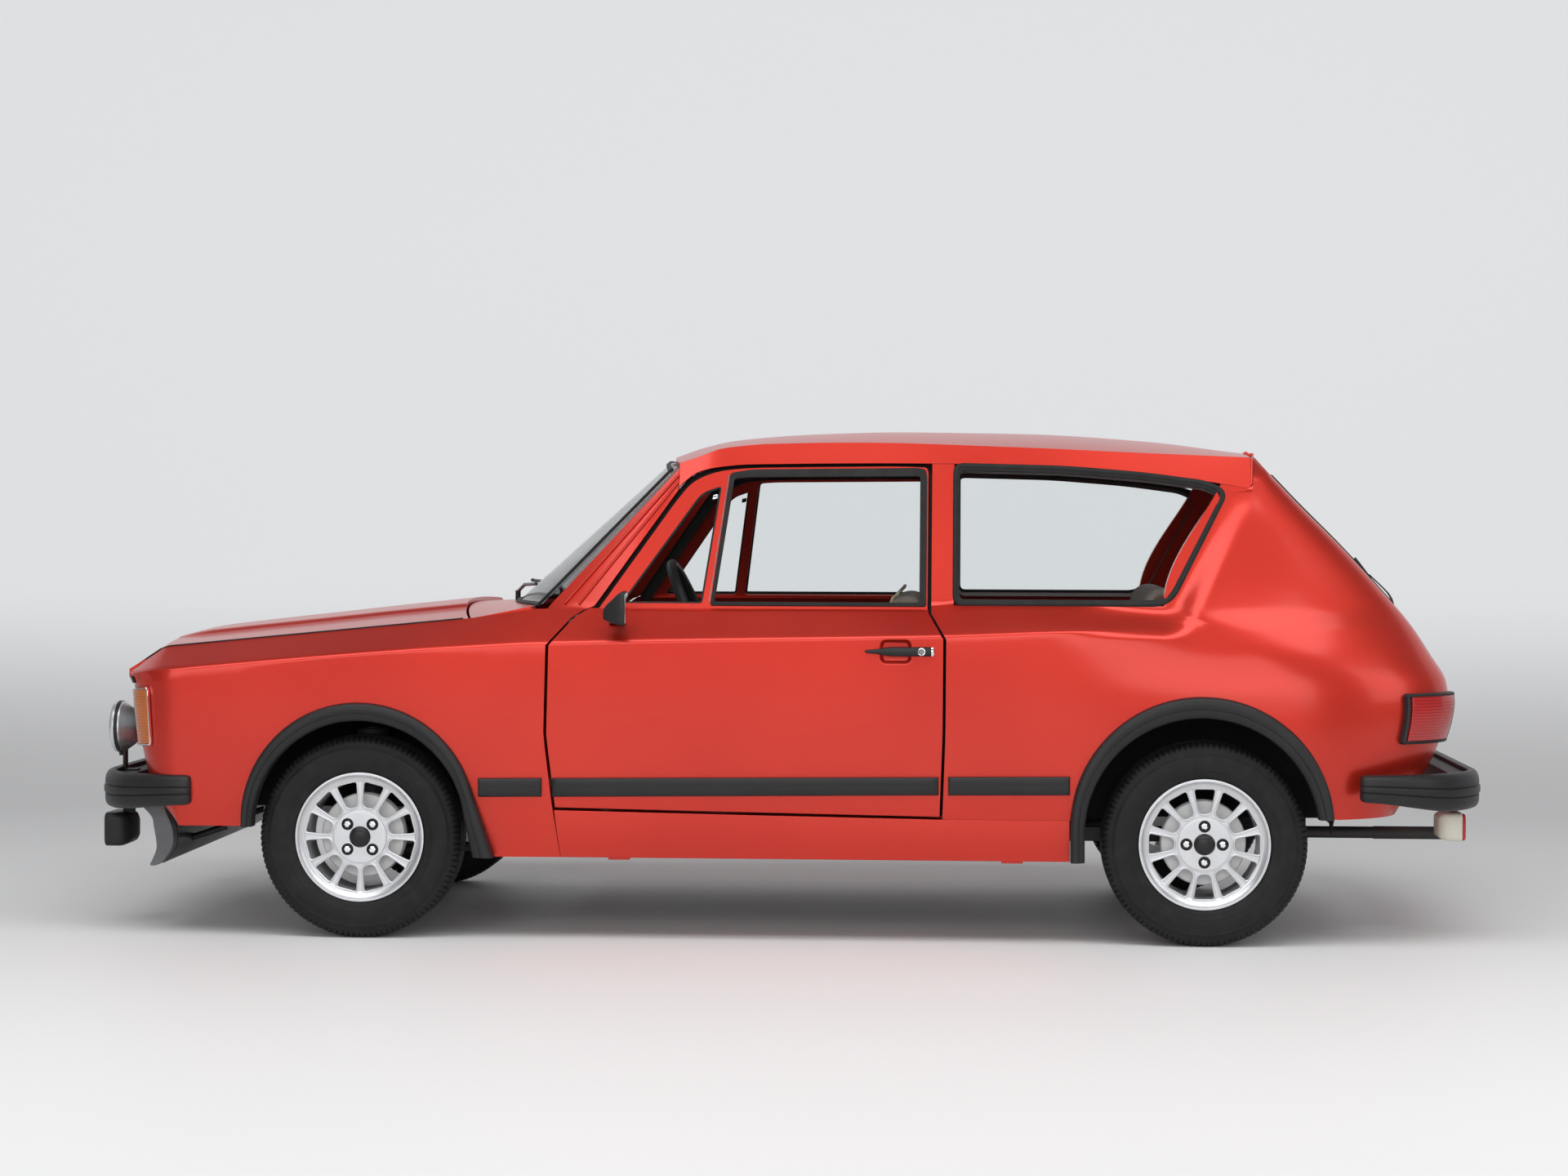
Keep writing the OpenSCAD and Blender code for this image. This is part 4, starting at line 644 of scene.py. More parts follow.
def wing_columns(inset):
    upper = span(1, 2, 8)[1:]
    columns = []
    for k in range(14, 0, -1):
        rows, below, above = panel_rows(WING_LOW_Z, 745, 752, 3)
        columns.append(fold_rows(lambda v: wing_corner_point(k / 14, v, inset), rows, below, above, upper))
    arch = [FRONT_ARCH[0] + FRONT_ARCH[2] * math.cos(math.radians(a)) for a in span(179, 18.5, 46)]
    for x in [WING_CORNER_X, -1650, -1600, -1550] + arch + [TAIL_END_X + 1, -770, -740, -700]:
        rows, below, above = panel_rows(wing_bottom(x), crease_line(x), bonnet_line(x))
        columns.append(fold_rows(lambda v: wing_side_point(x, v, inset), rows, below, above, upper))
    rows, below, above = panel_rows(SILL_Z, crease_line(-648), 931)
    columns.append(fold_rows(lambda v: wing_end_point(v, inset), rows, below, above, upper))
    return columns


panel("wing_panels", mirrored(plate(wing_columns(0), wing_columns(WING_IN))), "front_wings")

QUARTER_FRONT_X, QUARTER_WINDOW_X, QUARTER_LOW_Z, QUARTER_IN, WINDOW_ROWS = 464, 484, 352, 45, 24
QUARTER_BASE_X = quarter_round_line(600)


def quarter_bottom(x):
    if x < REAR_ARCH[0] - REAR_ARCH[2] + 0.5:
        return QUARTER_LOW_Z
    return max(QUARTER_LOW_Z + 6, arch_top(REAR_ARCH, x))


def quarter_z(low, crease, top, v):
    """Row 0..1 runs from the lower edge to the crease, 1..2 to the window's base and 2..3 to the top."""
    if v <= 1:
        return mix(low, crease, v)
    return mix(crease, WINDOW_BASE_Z, v - 1) if v <= 2 else mix(WINDOW_BASE_Z, top, v - 2)


def quarter_side_point(x, v, inset):
    crease = crease_line(x)
    z = quarter_z(quarter_bottom(x), crease, rail_line(x) - 1, v)
    share = (x - QUARTER_WINDOW_X) / (QUARTER_BASE_X - QUARTER_WINDOW_X)
    place = x
    if x == QUARTER_FRONT_X:
        place = door_rear_line(z) + SHUT_GAP
    elif share > 0:
        place = mix(x, mix(QUARTER_WINDOW_X, quarter_round_line(z), share), ease(v))
    if v > 2:
        z = mix(WINDOW_BASE_Z, rail_line(place) - 1, v - 2)
    return place, -(tail_half(place, z, crease) - inset), z


def quarter_turn_point(t, low, v, inset):
    swing = math.sin(math.pi / 2 * t)
    crease = crease_line(mix(QUARTER_BASE_X, 1842, swing))
    z = quarter_z(low, crease, mix(rail_line(ROOF_BACK_X) - 1.5, 1366, t), v)
    x = mix(quarter_round_line(z), tail_line(z) - (0 if t < 0.25 else inset), swing)
    if v == 3:
        x = mix(ROOF_BACK_X + 3, ROOF_BACK_X + 12, t)
    half = tail_half(x, z, crease_line(QUARTER_BASE_X)) - inset
    return x, -mix(TAIL_Y, half, math.cos(math.pi / 2 * t)), z


def quarter_turns():
    """Columns of the rounded tail: share of the turn, then height of the lower edge."""
    columns = []
    for a in span(50, 3.9, 32):
        z = REAR_ARCH[1] + REAR_ARCH[2] * math.sin(math.radians(a))
        x = REAR_ARCH[0] + REAR_ARCH[2] * math.cos(math.radians(a))
        start = quarter_round_line(z)
        share = (x - start) / (tail_line(z) - start)
        if share > 0:
            columns.append((math.asin(share) / (math.pi / 2), z))
    return columns + [(t, QUARTER_LOW_Z + 6) for t in span(columns[-1][0] + 0.03, 1, 16)]


def quarter_rows(low, crease):
    """Row numbers, close together at the sill fold and at the crease."""
    fold, fine = (SILL_CREASE_Z - low) / (crease - low), 1 / (crease - low)
    rows = [0, fold - 4 * fine, fold + 4 * fine] if low < SILL_CREASE_Z - 8 else [0, 0.06, 0.12]
    rows += span(max(0.16, fold + 0.05), 1 - 24 * fine, 9) + [1 - d * fine for d in (16, 10, 6, 3, 1)]
    above = WINDOW_BASE_Z - crease
    return rows + [1] + [1 + d / above for d in (1, 3, 6, 10, 16, 24, 34)] + span(1 + 42 / above, 2, 12) + span(
        2, 3, WINDOW_ROWS)[1:]


def quarter_columns(inset):
    arch = [REAR_ARCH[0] + REAR_ARCH[2] * math.cos(math.radians(a)) for a in span(179, 53, 38)]
    columns = []
    for x in [QUARTER_FRONT_X, QUARTER_WINDOW_X] + span(540, 790, 5) + arch:
        columns.append([quarter_side_point(x, v, inset) for v in quarter_rows(quarter_bottom(x), crease_line(x))])
    for t, low in quarter_turns():
        rows = quarter_rows(low, crease_line(QUARTER_BASE_X))
        columns.append([quarter_turn_point(t, low, v, inset) for v in rows])
    return columns


columns = quarter_columns(0)
sill_row = len(columns[0]) - WINDOW_ROWS - 1
window_cells = [(1, 45, sill_row, sill_row + WINDOW_ROWS)]
panel("quarter_panels", mirrored(plate(columns, quarter_columns(QUARTER_IN), window_cells)), "rear_quarters")

GUTTER_Y = EDGE_Y - 120


def roof_column(y_share, drop):
    """Points along the roof at a share of its half width; shares beyond 1 run down to the side rail."""
    line = []
    for s in span(0, 0.16, 14) + span(0.2, 0.96, 24) + [0.98, 1]:
        inner = max(-1, min(1, y_share))
        x = mix(-345 + 48 * inner ** 2, ROOF_BACK_X, s)
        y, z = inner * GUTTER_Y, mix(gutter_line(x), roof_line(x), 1 - inner ** 2)
        over = abs(y_share) - 1
        side = math.copysign(1, y_share)
        if over >= 0:
            rail = rail_line(x)
            edge = EDGE_Y - (rail - WAIST_Z) * math.tan(TILT)
            y = side * mix(GUTTER_Y, edge, over) - side * drop
            z = mix(gutter_line(x), rail, over) - drop * (1 - over)
            line.append((x, y, z))
        else:
            line.append((x, y - side * drop * abs(inner) * 0.9, z - drop))
    return line


roof_shares = [-2, -1.6, -1.3, -1.1, -1.03, -1] + span(-0.97, 0.97, 40) + [1, 1.03, 1.1, 1.3, 1.6, 2]
panel("roof_panel", plate(*[[roof_column(u, drop) for u in roof_shares] for drop in (0, PANEL_T)]), "roof")

corner_seam = [(1320, -576, 1272), (1320, -565, 1302), (1321, -554, 1331), (1322, -544, 1353), (1324, -526, 1360),
               (1326, -508, 1362)]
piece("roof_corner_seams", mirrored(sweep(circle(3.2, 10), corner_seam, up=(1, 0, 0))), PAINT, "body")

BONNET_Y = EDGE_Y - SHUT_GAP
bonnet_crown = Line([(0, 8), (0.05, 15), (0.104, 20), (0.3, 25), (0.55, 28), (0.8, 31), (1, 32)])


def bonnet_point(s, u, drop):
    bow = 1 - u * u
    x = mix(BONNET_FRONT_X - 42 * bow, BONNET_BACK_X - 75 * bow, s)
    z = bonnet_line(mix(BONNET_FRONT_X, BONNET_BACK_X, s)) + bonnet_crown(s) * bow
    z += 12 * ease((0.575 - abs(u)) / 0.05) * ease((s - 0.06) / 0.14)
    return x, u * BONNET_Y, z - drop


bonnet_s = span(0, 0.07, 6) + [0.08, 0.09, 0.098, 0.1, 0.102, 0.104, 0.106, 0.108, 0.112] + span(0.14, 1, 26)
bonnet_u = [-1, -0.985] + span(-0.95, -0.6, 6) + span(-0.58, -0.52, 8) + span(-0.45, 0.45, 16) + span(
    0.52, 0.58, 8) + span(0.6, 0.95, 6) + [0.985, 1]
bonnet_skins = [[[bonnet_point(s, u, drop) for u in bonnet_u] for s in bonnet_s] for drop in (0, PANEL_T)]
panel("bonnet_panel", plate(*bonnet_skins), "bonnet", "bonnet")

# A black rubber line in the bonnet's shut gaps: partly a rubber, partly painted shade of the gap.
bonnet_gap = [tuple(Vector(wing_corner_point(t, 2, 0)) + Vector((0, 1.5, 0.5))) for t in span(0.95, 0.1, 8)] + [
    (x, 1.5 - EDGE_Y, bonnet_line(x) + 0.5) for x in span(WING_CORNER_X, -900, 16)]
piece("bonnet_gap_shade_rubbers", mirrored(sweep(circle(3, 10), bonnet_gap)), RUBBER, "body")


def nose_x(y, z):
    return nose_line(z) - 42 * (1 - (y / NOSE_Y) ** 2)


def tail_x(y, z):
    return tail_line(z) + 12 * (1 - (y / TAIL_Y) ** 2)


apron = [[[(nose_x(y, z) + deep, y, z) for z in span(362, 552, 8)] for y in span(NOSE_Y - 0.3, 0.3 - NOSE_Y, 24)]
         for deep in (0, 30)]
panel("nose_apron", plate(*apron), "front_panel")
stern = [[[(tail_x(y, z) - deep, y, z) for z in span(358, 732, 22)] for y in span(0.3 - TAIL_Y, TAIL_Y - 0.3, 24)]
         for deep in (0, 30)]
panel("stern_panel", plate(*stern), "rear_panel")

TAILGATE_Y, TAILGATE_LOW, TAILGATE_HIGH = TAIL_Y - SHUT_GAP, 741, 1366


def tailgate_point(u, z, deep):
    y = u * TAILGATE_Y
    ahead = Line([(741, 1), (806, 0.7), (1305, 0.7), (1366, 0)], smooth=False)(z)
    down = Line([(741, 0), (806, 0.7), (1305, 0.7), (1366, 1.35)], smooth=False)(z)
    lift = 15 * (1 - u * u) * (z - TAILGATE_LOW) / (TAILGATE_HIGH - TAILGATE_LOW)
    return tail_x(y, z) - ahead * deep, y, z + lift - down * deep


gate_z = span(741, 930, 16) + [945] + span(975, 1275, 14) + [1305] + span(1320, 1366, 5)
gate_u = [-1, -0.95, -0.9, -0.86] + span(-0.8, 0.8, 24) + [0.86, 0.9, 0.95, 1]
gate = [[[tailgate_point(u, z, deep) for z in gate_z] for u in gate_u] for deep in (0, PANEL_T)]
hinge_pins = [moved(lathe([(0.01, -30), (5.7, -30), (5.7, 30), (0.01, 30)], 20),
                    lambda p, y=y: (1324 + p[0], y + p[2], 1378 + p[1])) for y in (-300, 300)]
hinge_feet = [box((1324, y - 30, 1371), (1346, y + 30, 1379)) for y in (-300, 300)]
panel("tailgate_panel", joined(plate(*gate, [(3, 29, 17, 33)]), *hinge_pins, *hinge_feet), "tailgate", "tailgate")


def sill_top(x):
    return QUARTER_LOW_Z - SEAT_GAP if x > QUARTER_FRONT_X else door_bottom_line(x) - SHUT_GAP


def sill_column(x, slant, inner):
    line = []
    for t in span(0, 1, 6):
        z = mix(SILL_Z, sill_top(x), t)
        half = HALF_WIDTH - 149.7 if inner else side_half(z, WAIST_Z) + 5 * 4 * t * (1 - t)
        line.append((x - slant * t, -half, z))
    return line


sill_x = [(-611.5, 17)] + [(x, 0) for x in span(-560, 458, 16)] + [(470, 0), (640, 0), (809, 0)]
pads = [box((x - 30, -725, 227), (x + 30, -685, 240)) for x in (-450, 650)]
piece("sill_panels", mirrored(joined(plate([sill_column(x, s, False) for x, s in sill_x],
                                           [sill_column(x, s, True) for x, s in sill_x]), *pads)),
      PAINT, "body", 2, 40, ("sills",))

# Doors


def on_window(x, z, out):
    """A point given in side view, on the left window plane; out is its height above that plane."""
    rise = (z - WAIST_Z) / math.cos(TILT)
    y = -EDGE_Y + rise * math.sin(TILT) - out * math.cos(TILT)
    return x, y, WAIST_Z + rise * math.cos(TILT) + out * math.sin(TILT)


HANDLE_Z, DOOR_BACK_X, DOOR_TOP_Z = 818, 454, 932


def recess(x, z):
    """Depth of the rounded hollow behind the door handle."""
    dx, dz = max(0, abs(x - 325) - 26), max(0, abs(z - HANDLE_Z) - 16)
    return 16 * ease((18 - math.hypot(dx, dz)) / 9)


def door_lines(s):
    """Heights of the lower edge and of the crease at a share of the door's length."""
    return door_bottom_line(mix(-616, DOOR_BACK_X, s)), crease_line(mix(-640, DOOR_BACK_X, s))


def door_point(s, row, inset):
    """Row is 0..1 from the lower edge to the crease and 1..2 on to the window sill."""
    low, crease = door_lines(s)
    z = mix(low, crease, row) if row <= 1 else mix(crease, DOOR_TOP_Z, row - 1)
    x = mix(door_front_line(z) + SHUT_GAP / 2, door_rear_line(z), s)
    wall = 80 if row <= 1 else Line([(crease, 80), (906, 54), (DOOR_TOP_Z, 42)], smooth=False)(z)
    half = side_half(z, crease) - (inset * wall if inset else recess(x, z))
    return x, -half, z


def door_columns(inset):
    shares = span(0, 0.8, 22) + span(0.82, 0.935, 44) + span(0.945, 0.99, 5) + [1]
    columns = []
    for s in shares:
        low, crease = door_lines(s)
        fold = (SILL_CREASE_Z - low) / (crease - low)
        dense = (780 - low) / (crease - low)
        rows = [0, fold * 0.5, fold - 0.004, fold + 0.004, fold + 0.05] + span(0.2, dense - 0.03, 8) + span(
            dense, 1 - 8.5 / (crease - low), 24)
        columns.append(fold_rows(lambda v: door_point(s, v, inset), rows, 7 / (crease - low),
                                 7 / (DOOR_TOP_Z - crease), span(1.2, 2, 7)))
    return columns


FRAME = [(-522, 905), (-514, 930), (-300, 1238), (-256, 1292), (-186, 1320), (-91, 1329), (326, 1334), (405, 1331),
         (411, 1320), (411, 905)]
VENT = [(-452, 946), (-222, 946), (-174, 1278), (-232, 1258)]
PANE = [(-194, 946), (-144, 1304), (-91, 1308), (394, 1312), (394, 946)]
door_frame = rounded(FRAME, [4, 10, 60, 60, 60, 60, 60, 6, 6, 4])
vent_hole = rounded(VENT, [14, 10, 12, 26])
pane_hole = rounded(PANE, [10, 14, 40, 16, 14])
door_skin = plate(door_columns(0), door_columns(1))
door_rim = holed([door_frame, vent_hole, pane_hole], -26, 0, on_window)
for name, side in SIDES:
    body = "door_" + name
    panel(body + "_skin", on_side(door_skin, side), body, body)
    piece(body + "_window_frame", on_side(door_rim, side), PAINT, body, 3, 40)

# Windscreen surround and windows


SCREEN_X, SCREEN_BOW, SCREEN_Y = -825, 135, 600


def screen_point(u, t, deep):
    bow = u * u
    return (mix(SCREEN_X + SCREEN_BOW * bow, -360 + 42 * bow, t) + 0.7 * deep, u * SCREEN_Y * mix(1, 0.9, t),
            mix(937, 1354 - 30 * bow, t) - 0.7 * deep)


def cowl_point(t, u, drop):
    bow = 1 - u * u
    back = min(-704, SCREEN_X + SCREEN_BOW * (u * BONNET_Y / SCREEN_Y) ** 2 - 1)
    front = bonnet_point(1, u, 0)[0] + SHUT_GAP
    return mix(front, back, t), u * (EDGE_Y - 0.5), mix(bonnet_line(BONNET_BACK_X) + 32 * bow, 936, t) - drop


cowl = [[[cowl_point(t, u, drop) for u in span(-1, 1, 32)] for t in span(0, 1, 4)] for drop in (0, 18)]
# Windscreen pillar from the cowl to the roof: each row is (x, in from the window edge, z)
PILLAR = (((-676, 52, 916), (-660, 55, 938), (-298, 114, 1328)), ((-582, 0.5, 916), (-526, 4, 938), (-298, 94, 1266)),
          ((-650, 80, 916), (-634, 83, 938), (-298, 142, 1318)), ((-582, 48, 916), (-530, 50, 938), (-298, 136, 1266)))


def pillar_row(row, t):
    a, b, c = PILLAR[row]
    low, high, share = (a, b, t / 0.06) if t < 0.06 else (b, c, (t - 0.06) / 0.94)
    x, inset, z = (mix(p, q, share) for p, q in zip(low, high))
    return x, -(EDGE_Y - inset), z


def pillar_grid(front, back, bulge):
    rows = []
    for s in (0, 0.3, 0.5, 0.7, 1):
        line = []
        for t in [0, 0.03, 0.06] + span(0.1, 1, 12):
            p, q = Vector(pillar_row(front, t)), Vector(pillar_row(back, t))
            line.append(tuple(p.lerp(q, s) + Vector((0, -bulge * 4 * s * (1 - s), 0))))
        rows.append(line)
    return rows


ribs = []
for share in (0.3, 0.62):
    path = [tuple(Vector(pillar_row(0, t)).lerp(Vector(pillar_row(1, t)), share) + Vector((0, -5, 0)))
            for t in span(0.07, 1, 12)]
    ribs.append(sweep([(-4, -4), (4, -4), (4, 2), (1.5, 5), (-1.5, 5), (-4, 2)], path, up=(0, -1, 0)))
pillars = mirrored(joined(plate(pillar_grid(0, 1, 4), pillar_grid(2, 3, 0)), *ribs))
panel("cowl_and_pillars", joined(plate(*cowl), pillars), "windscreen_frame")

screen = [[[screen_point(u, t, deep) for t in span(0, 1, 12)] for u in span(1, -1, 32)] for deep in (0, 5)]
piece("windscreen_pane", plate(*screen), GLASS, "body", stands_for=("windscreen",))
rear_pane = [[[tailgate_point(u, z, deep) for z in span(945.5, 1304.5, 14)] for u in span(-0.859, 0.859, 24)]
             for deep in (7, 12)]
piece("rear_window_pane", plate(*rear_pane), GLASS, "tailgate", stands_for=("tailgate_glass",))
dress(GLASS, "quarter_glass", "door_left_glass", "door_right_glass")

LIP = [(-5, -5), (5, -5), (6, -1), (4, 3), (-4, 3), (-6, -1)]


def seal(outline, radius, place, width=1.0, lift=-4):
    """Rubber lip along a closed window outline."""
    ring = [place(*p, lift) for p in rounded(outline, radius, 6)]
    a, b, c = Vector(ring[0]), Vector(ring[len(ring) // 3]), Vector(ring[2 * len(ring) // 3])
    normal = (b - a).cross(c - a).normalized()
    return sweep([(s * width, t) for s, t in LIP], ring, True, normal)


screen_edge = border(lambda u, t: screen_point(u, t, -3), ((-0.985, 0.005), (0.985, 0.005), 24),
                     ((0.985, 0.06), (0.985, 0.94), 10), ((0.985, 0.99), (-0.985, 0.99), 24),
                     ((-0.985, 0.94), (-0.985, 0.06), 10))
piece("windscreen_seal", sweep([(s * 1.3, t) for s, t in LIP], screen_edge, True, (-0.67, 0, 0.74)), RUBBER, "body")
gate_edge = border(lambda u, z: tailgate_point(u, z, -2), ((-0.84, 948), (0.84, 948), 20),
                   ((0.855, 960), (0.855, 1290), 12), ((0.84, 1302), (-0.84, 1302), 20),
                   ((-0.855, 1290), (-0.855, 960), 12))
piece("rear_window_seal", sweep([(s * 1.6, t) for s, t in LIP], gate_edge, True, (0.75, 0, 0.66)), RUBBER, "tailgate")
opening = [(486, 947), (1090, 947), (1251, 1258), (1246, 1279)] + [
    (x, rail_line(x) - 3) for x in span(1200, 520, 10)] + [(486, rail_line(490) - 3)]
inner_edge = rounded([(493, 955), (1080, 955), (1238, 1258), (1190, 1283), (1017, 1306), (787, 1324), (493, 1331)],
                     [24, 46, 26, 40, 60, 60, 24], 8)
gasket = holed([rounded(opening, 3, 2), inner_edge], -14, -7, on_window)
outer_edge = rounded([(488, 949), (1086, 949), (1246, 1262), (1196, 1289), (1017, 1313), (787, 1331), (488, 1338)],
                     [24, 48, 26, 40, 60, 60, 24], 8)
lips = [sweep([(-7, -3), (7, -3), (7, 2), (3, 5), (-3, 5), (-7, 2)], [on_window(*p, lift) for p in edge], True,
              (0, -0.967, 0.254)) for edge, lift in ((outer_edge, -1), (inner_edge, -5))]
piece("quarter_window_seal", mirrored(joined(gasket, *lips)), RUBBER, "body", 0, 40)
wide_edge = [(865 + (x - 865) * 1.008, 1140 + (z - 1140) * 1.012) for x, z in inner_edge]
reveal = loft([[on_window(*p, deep) for p in edge] for edge, deep in (
    (inner_edge, -14), (inner_edge, -56), (wide_edge, -56), (wide_edge, -14))], True)
piece("quarter_window_lining", mirrored(reveal), LINING, "body", 0, 40)
gasket_edge = rounded([(-200, 941), (-151, 1314), (-91, 1325), (380, 1330), (404, 1326), (408, 1300), (408, 941)],
                      [4, 10, 30, 10, 8, 8, 4])
pane_gasket = holed([gasket_edge, pane_hole], -9, 1.2, on_window)


def door_opening():
    """Black seal behind the gap of the left door: up the rear post, along the rail, down the windscreen pillar."""
    crease = crease_line(DOOR_BACK_X)
    line = [(door_rear_line(z) + 4, -(side_half(z, crease) - deep), z)
            for z, deep in [(z, 92) for z in span(372, 850, 10)] + [(880, 82), (905, 66)]]
    line += [on_window(417, z, -36) for z in span(935, 1310, 8)] + [on_window(412, 1330, -36)]
    line += [on_window(x, rail_line(x) - 4, -36) for x in span(390, -150, 14)]
    line += [on_window(x, z, -36) for x, z in ((-190, 1327), (-261, 1297), (-305, 1241), (-412, 1087), (-519, 933))]
    return sweep([(-17, -4), (17, -4), (17, 0), (6, 4), (-6, 4), (-17, 0)], line, up=(0, -1, 0.25))


piece("door_opening_seals", mirrored(door_opening()), RUBBER, "body")
for name, side in SIDES:
    body = "door_" + name
    seals = joined(seal(VENT, [14, 10, 12, 26], on_window), seal(PANE, [10, 14, 40, 16, 14], on_window))
    sill_rubber = sweep([(-4, -4), (4, -4), (4, 1), (2, 3), (-3, 3)],
                        [on_window(x, 943, 1) for x in span(-196, 404, 12)], up=(0, -1, 0.2))
    piece(body + "_seals", on_side(joined(seals, sill_rubber, pane_gasket), side), RUBBER, body)
    divider = sweep([(-1.2, -2), (1.2, -2), (1.2, 1.6), (-1.2, 1.6)],
                    [on_window(mix(-203, -154, t), mix(950, 1308, t), 0.5) for t in span(0, 1, 8)], up=(0, -1, 0.2))
    catch = prism(rounded([(-201, 1238), (-186, 1241), (-184, 1254), (-199, 1251)], 4), -8, 3, on_window, 2)
    piece(body + "_bright_edge", on_side(joined(divider, catch), side), BRIGHT, body)

# Bumpers

# Section: each row is (depth from the rib face, height)
BUMPER = [(26, 1), (18, 2), (11, 5), (6.5, 10), (4, 17), (3, 26), (3, 38), (6, 39.5), (6, 42), (0.8, 44), (0, 47),
          (0, 60), (0.8, 63), (6, 65), (6, 67.5), (3, 69), (3.4, 80), (5.5, 90), (9, 98), (14, 104), (20, 107),
          (28, 108), (36, 104), (36, 4)]


def bumper_shape(nose, end, corner, low, taper, side_y=799):
    """Wraps the section from one end round both corners; its lower edge rises by taper towards the ends."""
    way = 1 if end > nose else -1
    path = [(end, -side_y)]
    if abs(end - nose) - corner > 35:
        path += [(end - way * d, -side_y) for d in (4, 12, 30)]
    for run in [0, 4, 12, 30] + span(50, corner * math.pi / 2, 24):
        a = math.pi / 2 - run / corner
        path.append((nose + way * corner * (1 - math.cos(a)), -(side_y - corner * (1 - math.sin(a)))))
    path += [(nose, y) for y in span(-(side_y - corner) * 0.9, 0, 6)]
    path += [(x, -y) for x, y in reversed(path[:-1])]
    runs = [0.0]
    for p, q in zip(path, path[1:]):
        runs.append(runs[-1] + math.dist(p, q))
    tucked = Line([(0, 12), (4, 5), (12, 1), (30, 0)], smooth=False)
    rings = []
    for k, (x, y) in enumerate(path):
        a, b = path[max(0, k - 1)], path[min(len(path) - 1, k + 1)]
        along = Vector((b[0] - a[0], b[1] - a[1])).normalized()
        inward = Vector((along.y, -along.x)) * way
        run = min(runs[k], runs[-1] - runs[k])
        tuck, rise = tucked(run), taper * ease(1 - run / 320)
        ring = []
        for depth, height in BUMPER:
            inset = depth + tuck * (1 if depth < 20 else 0)
            up = height + (54 - height) * tuck / 70 + rise * (1 - height / 108)
            ring.append((x + inward.x * inset, y + inward.y * inset, low + up))
        rings.append(ring)
    return loft(rings)


front_beam = joined(box((-1949, -540, 368), (-1879, 540, 444)), mirrored(box((-1887, -320, 388), (-1852, -280, 424))))
rear_beam = joined(box((1887, -540, 394), (1957, 540, 470)), mirrored(box((1826, -320, 414), (1895, -280, 450))))
piece("front_bumper_moulding", bumper_shape(-1967, -1653, 310, 352, 22), BLACK, "body", 0, 50,
      ("front_bumper",))
piece("rear_bumper_moulding", bumper_shape(1975, 1604, 330, 378, 30), BLACK, "body", 0, 50,
      ("rear_bumper",))
piece("bumper_beams", joined(front_beam, rear_beam), STEEL, "body", 3)


# Arch trims

# Section: each row is (share from the outer to the inner line, half width there)
TRIM = [(0, 736), (0, 783), (0.04, 790), (0.12, 794.5), (0.3, 796), (0.5, 795.5), (0.56, 793), (0.6, 790),
        (0.66, 790.5), (0.9, 784), (1, 778), (1, 736)]


def trim_rings(outer, inner):
    """Rounded moulding between an outer and an inner line in side view, with a lip along the opening."""
    rings = []
    for a, b in zip(outer, inner):
        places = [(Vector(a).lerp(Vector(b), share), half) for share, half in TRIM]
        rings.append([(p.x, -half, p.y) for p, half in places])
    return loft(rings)


def arc(arch, r, drop, start, end, steps=60):
    return [(arch[0] + r * math.cos(math.radians(a)), arch[1] - drop + r * math.sin(math.radians(a)))
            for a in span(start, end, steps)]


front_outer = [(FRONT_ARCH[0] - 330.7, 316)] + arc(FRONT_ARCH, 330.7, 0, 180, 18) + [
    (mix(-864, TAIL_END_X, t), mix(437, SILL_Z, t)) for t in span(0, 1, 10)[1:]]
front_inner = [(FRONT_ARCH[0] - 300, 316)] + arc(FRONT_ARCH, 300, 20, 178, 8) + [
    (mix(-881.4, -855.6, t), mix(356.8, SILL_Z, t)) for t in span(0, 1, 10)[1:]]
rear_outer = [(REAR_ARCH[0] - 361.7, z) for z in span(SILL_Z + 1, 330, 6)] + arc(REAR_ARCH, 361.7, 0, 180, 4)
rear_inner = [(REAR_ARCH[0] - 323, z) for z in span(SILL_Z + 1, 310, 6)] + arc(REAR_ARCH, 323, 20, 180, 8)
piece("arch_mouldings", mirrored(joined(trim_rings(front_outer, front_inner), trim_rings(rear_outer, rear_inner))),
      BLACK, "body", 0, 50, ("arch_trims",))


# Side strips, handles and mirrors


def strip_shape(start, end):
    """Rounded rubbing strip between two ends, each (x, low z, high z)."""
    rings = []
    for t in [0, 0.004, 0.015] + span(0.05, 0.95, 20) + [0.985, 0.996, 1]:
        x, low, high = (mix(a, b, t) for a, b in zip(start, end))
        shrink = 0.55 if t in (0, 1) else 0.85 if t in (0.004, 0.996) else 1
        ring = []
        for share, out in ((0, 0.3), (0, 8), (0.05, 12), (0.14, 14), (0.4, 13.2), (0.6, 13.2), (0.86, 14), (0.95, 12),
                           (1, 8), (1, 0.3)):
            z = mix(low, high, share)
            ring.append((x, -(side_half(z, crease_line(x)) + (out * shrink if out > 1 else out)), z))
        rings.append(ring)
    return loft(rings)


wing_strip = strip_shape((-840, 405, 457), (-662, 407, 459))
quarter_strip = strip_shape((472, 420, 471), (808, 423, 474))
piece("rubbing_strips", mirrored(joined(wing_strip, quarter_strip)), BLACK, "body", 0, 50,
      ("side_strips",))


MIRROR_Y, MIRROR_Z = -792, 934


def mirror_shape():
    """Trumpet-shaped mirror shell: wide flat back, narrowing forwards to a blunt nose."""
    outline, rings = oblong(38, 49, 16), []
    for x, scale, drop in ((-424, 0.93, 0), (-425, 0.98, 0), (-428, 1, 0), (-438, 0.95, 1), (-450, 0.82, 4),
                           (-462, 0.66, 8), (-473, 0.52, 11), (-481, 0.4, 14), (-486, 0.27, 16), (-488, 0.12, 17)):
        rings.append([(x, MIRROR_Y + a * scale, MIRROR_Z - drop + b * scale) for a, b in outline])
    return loft(rings)


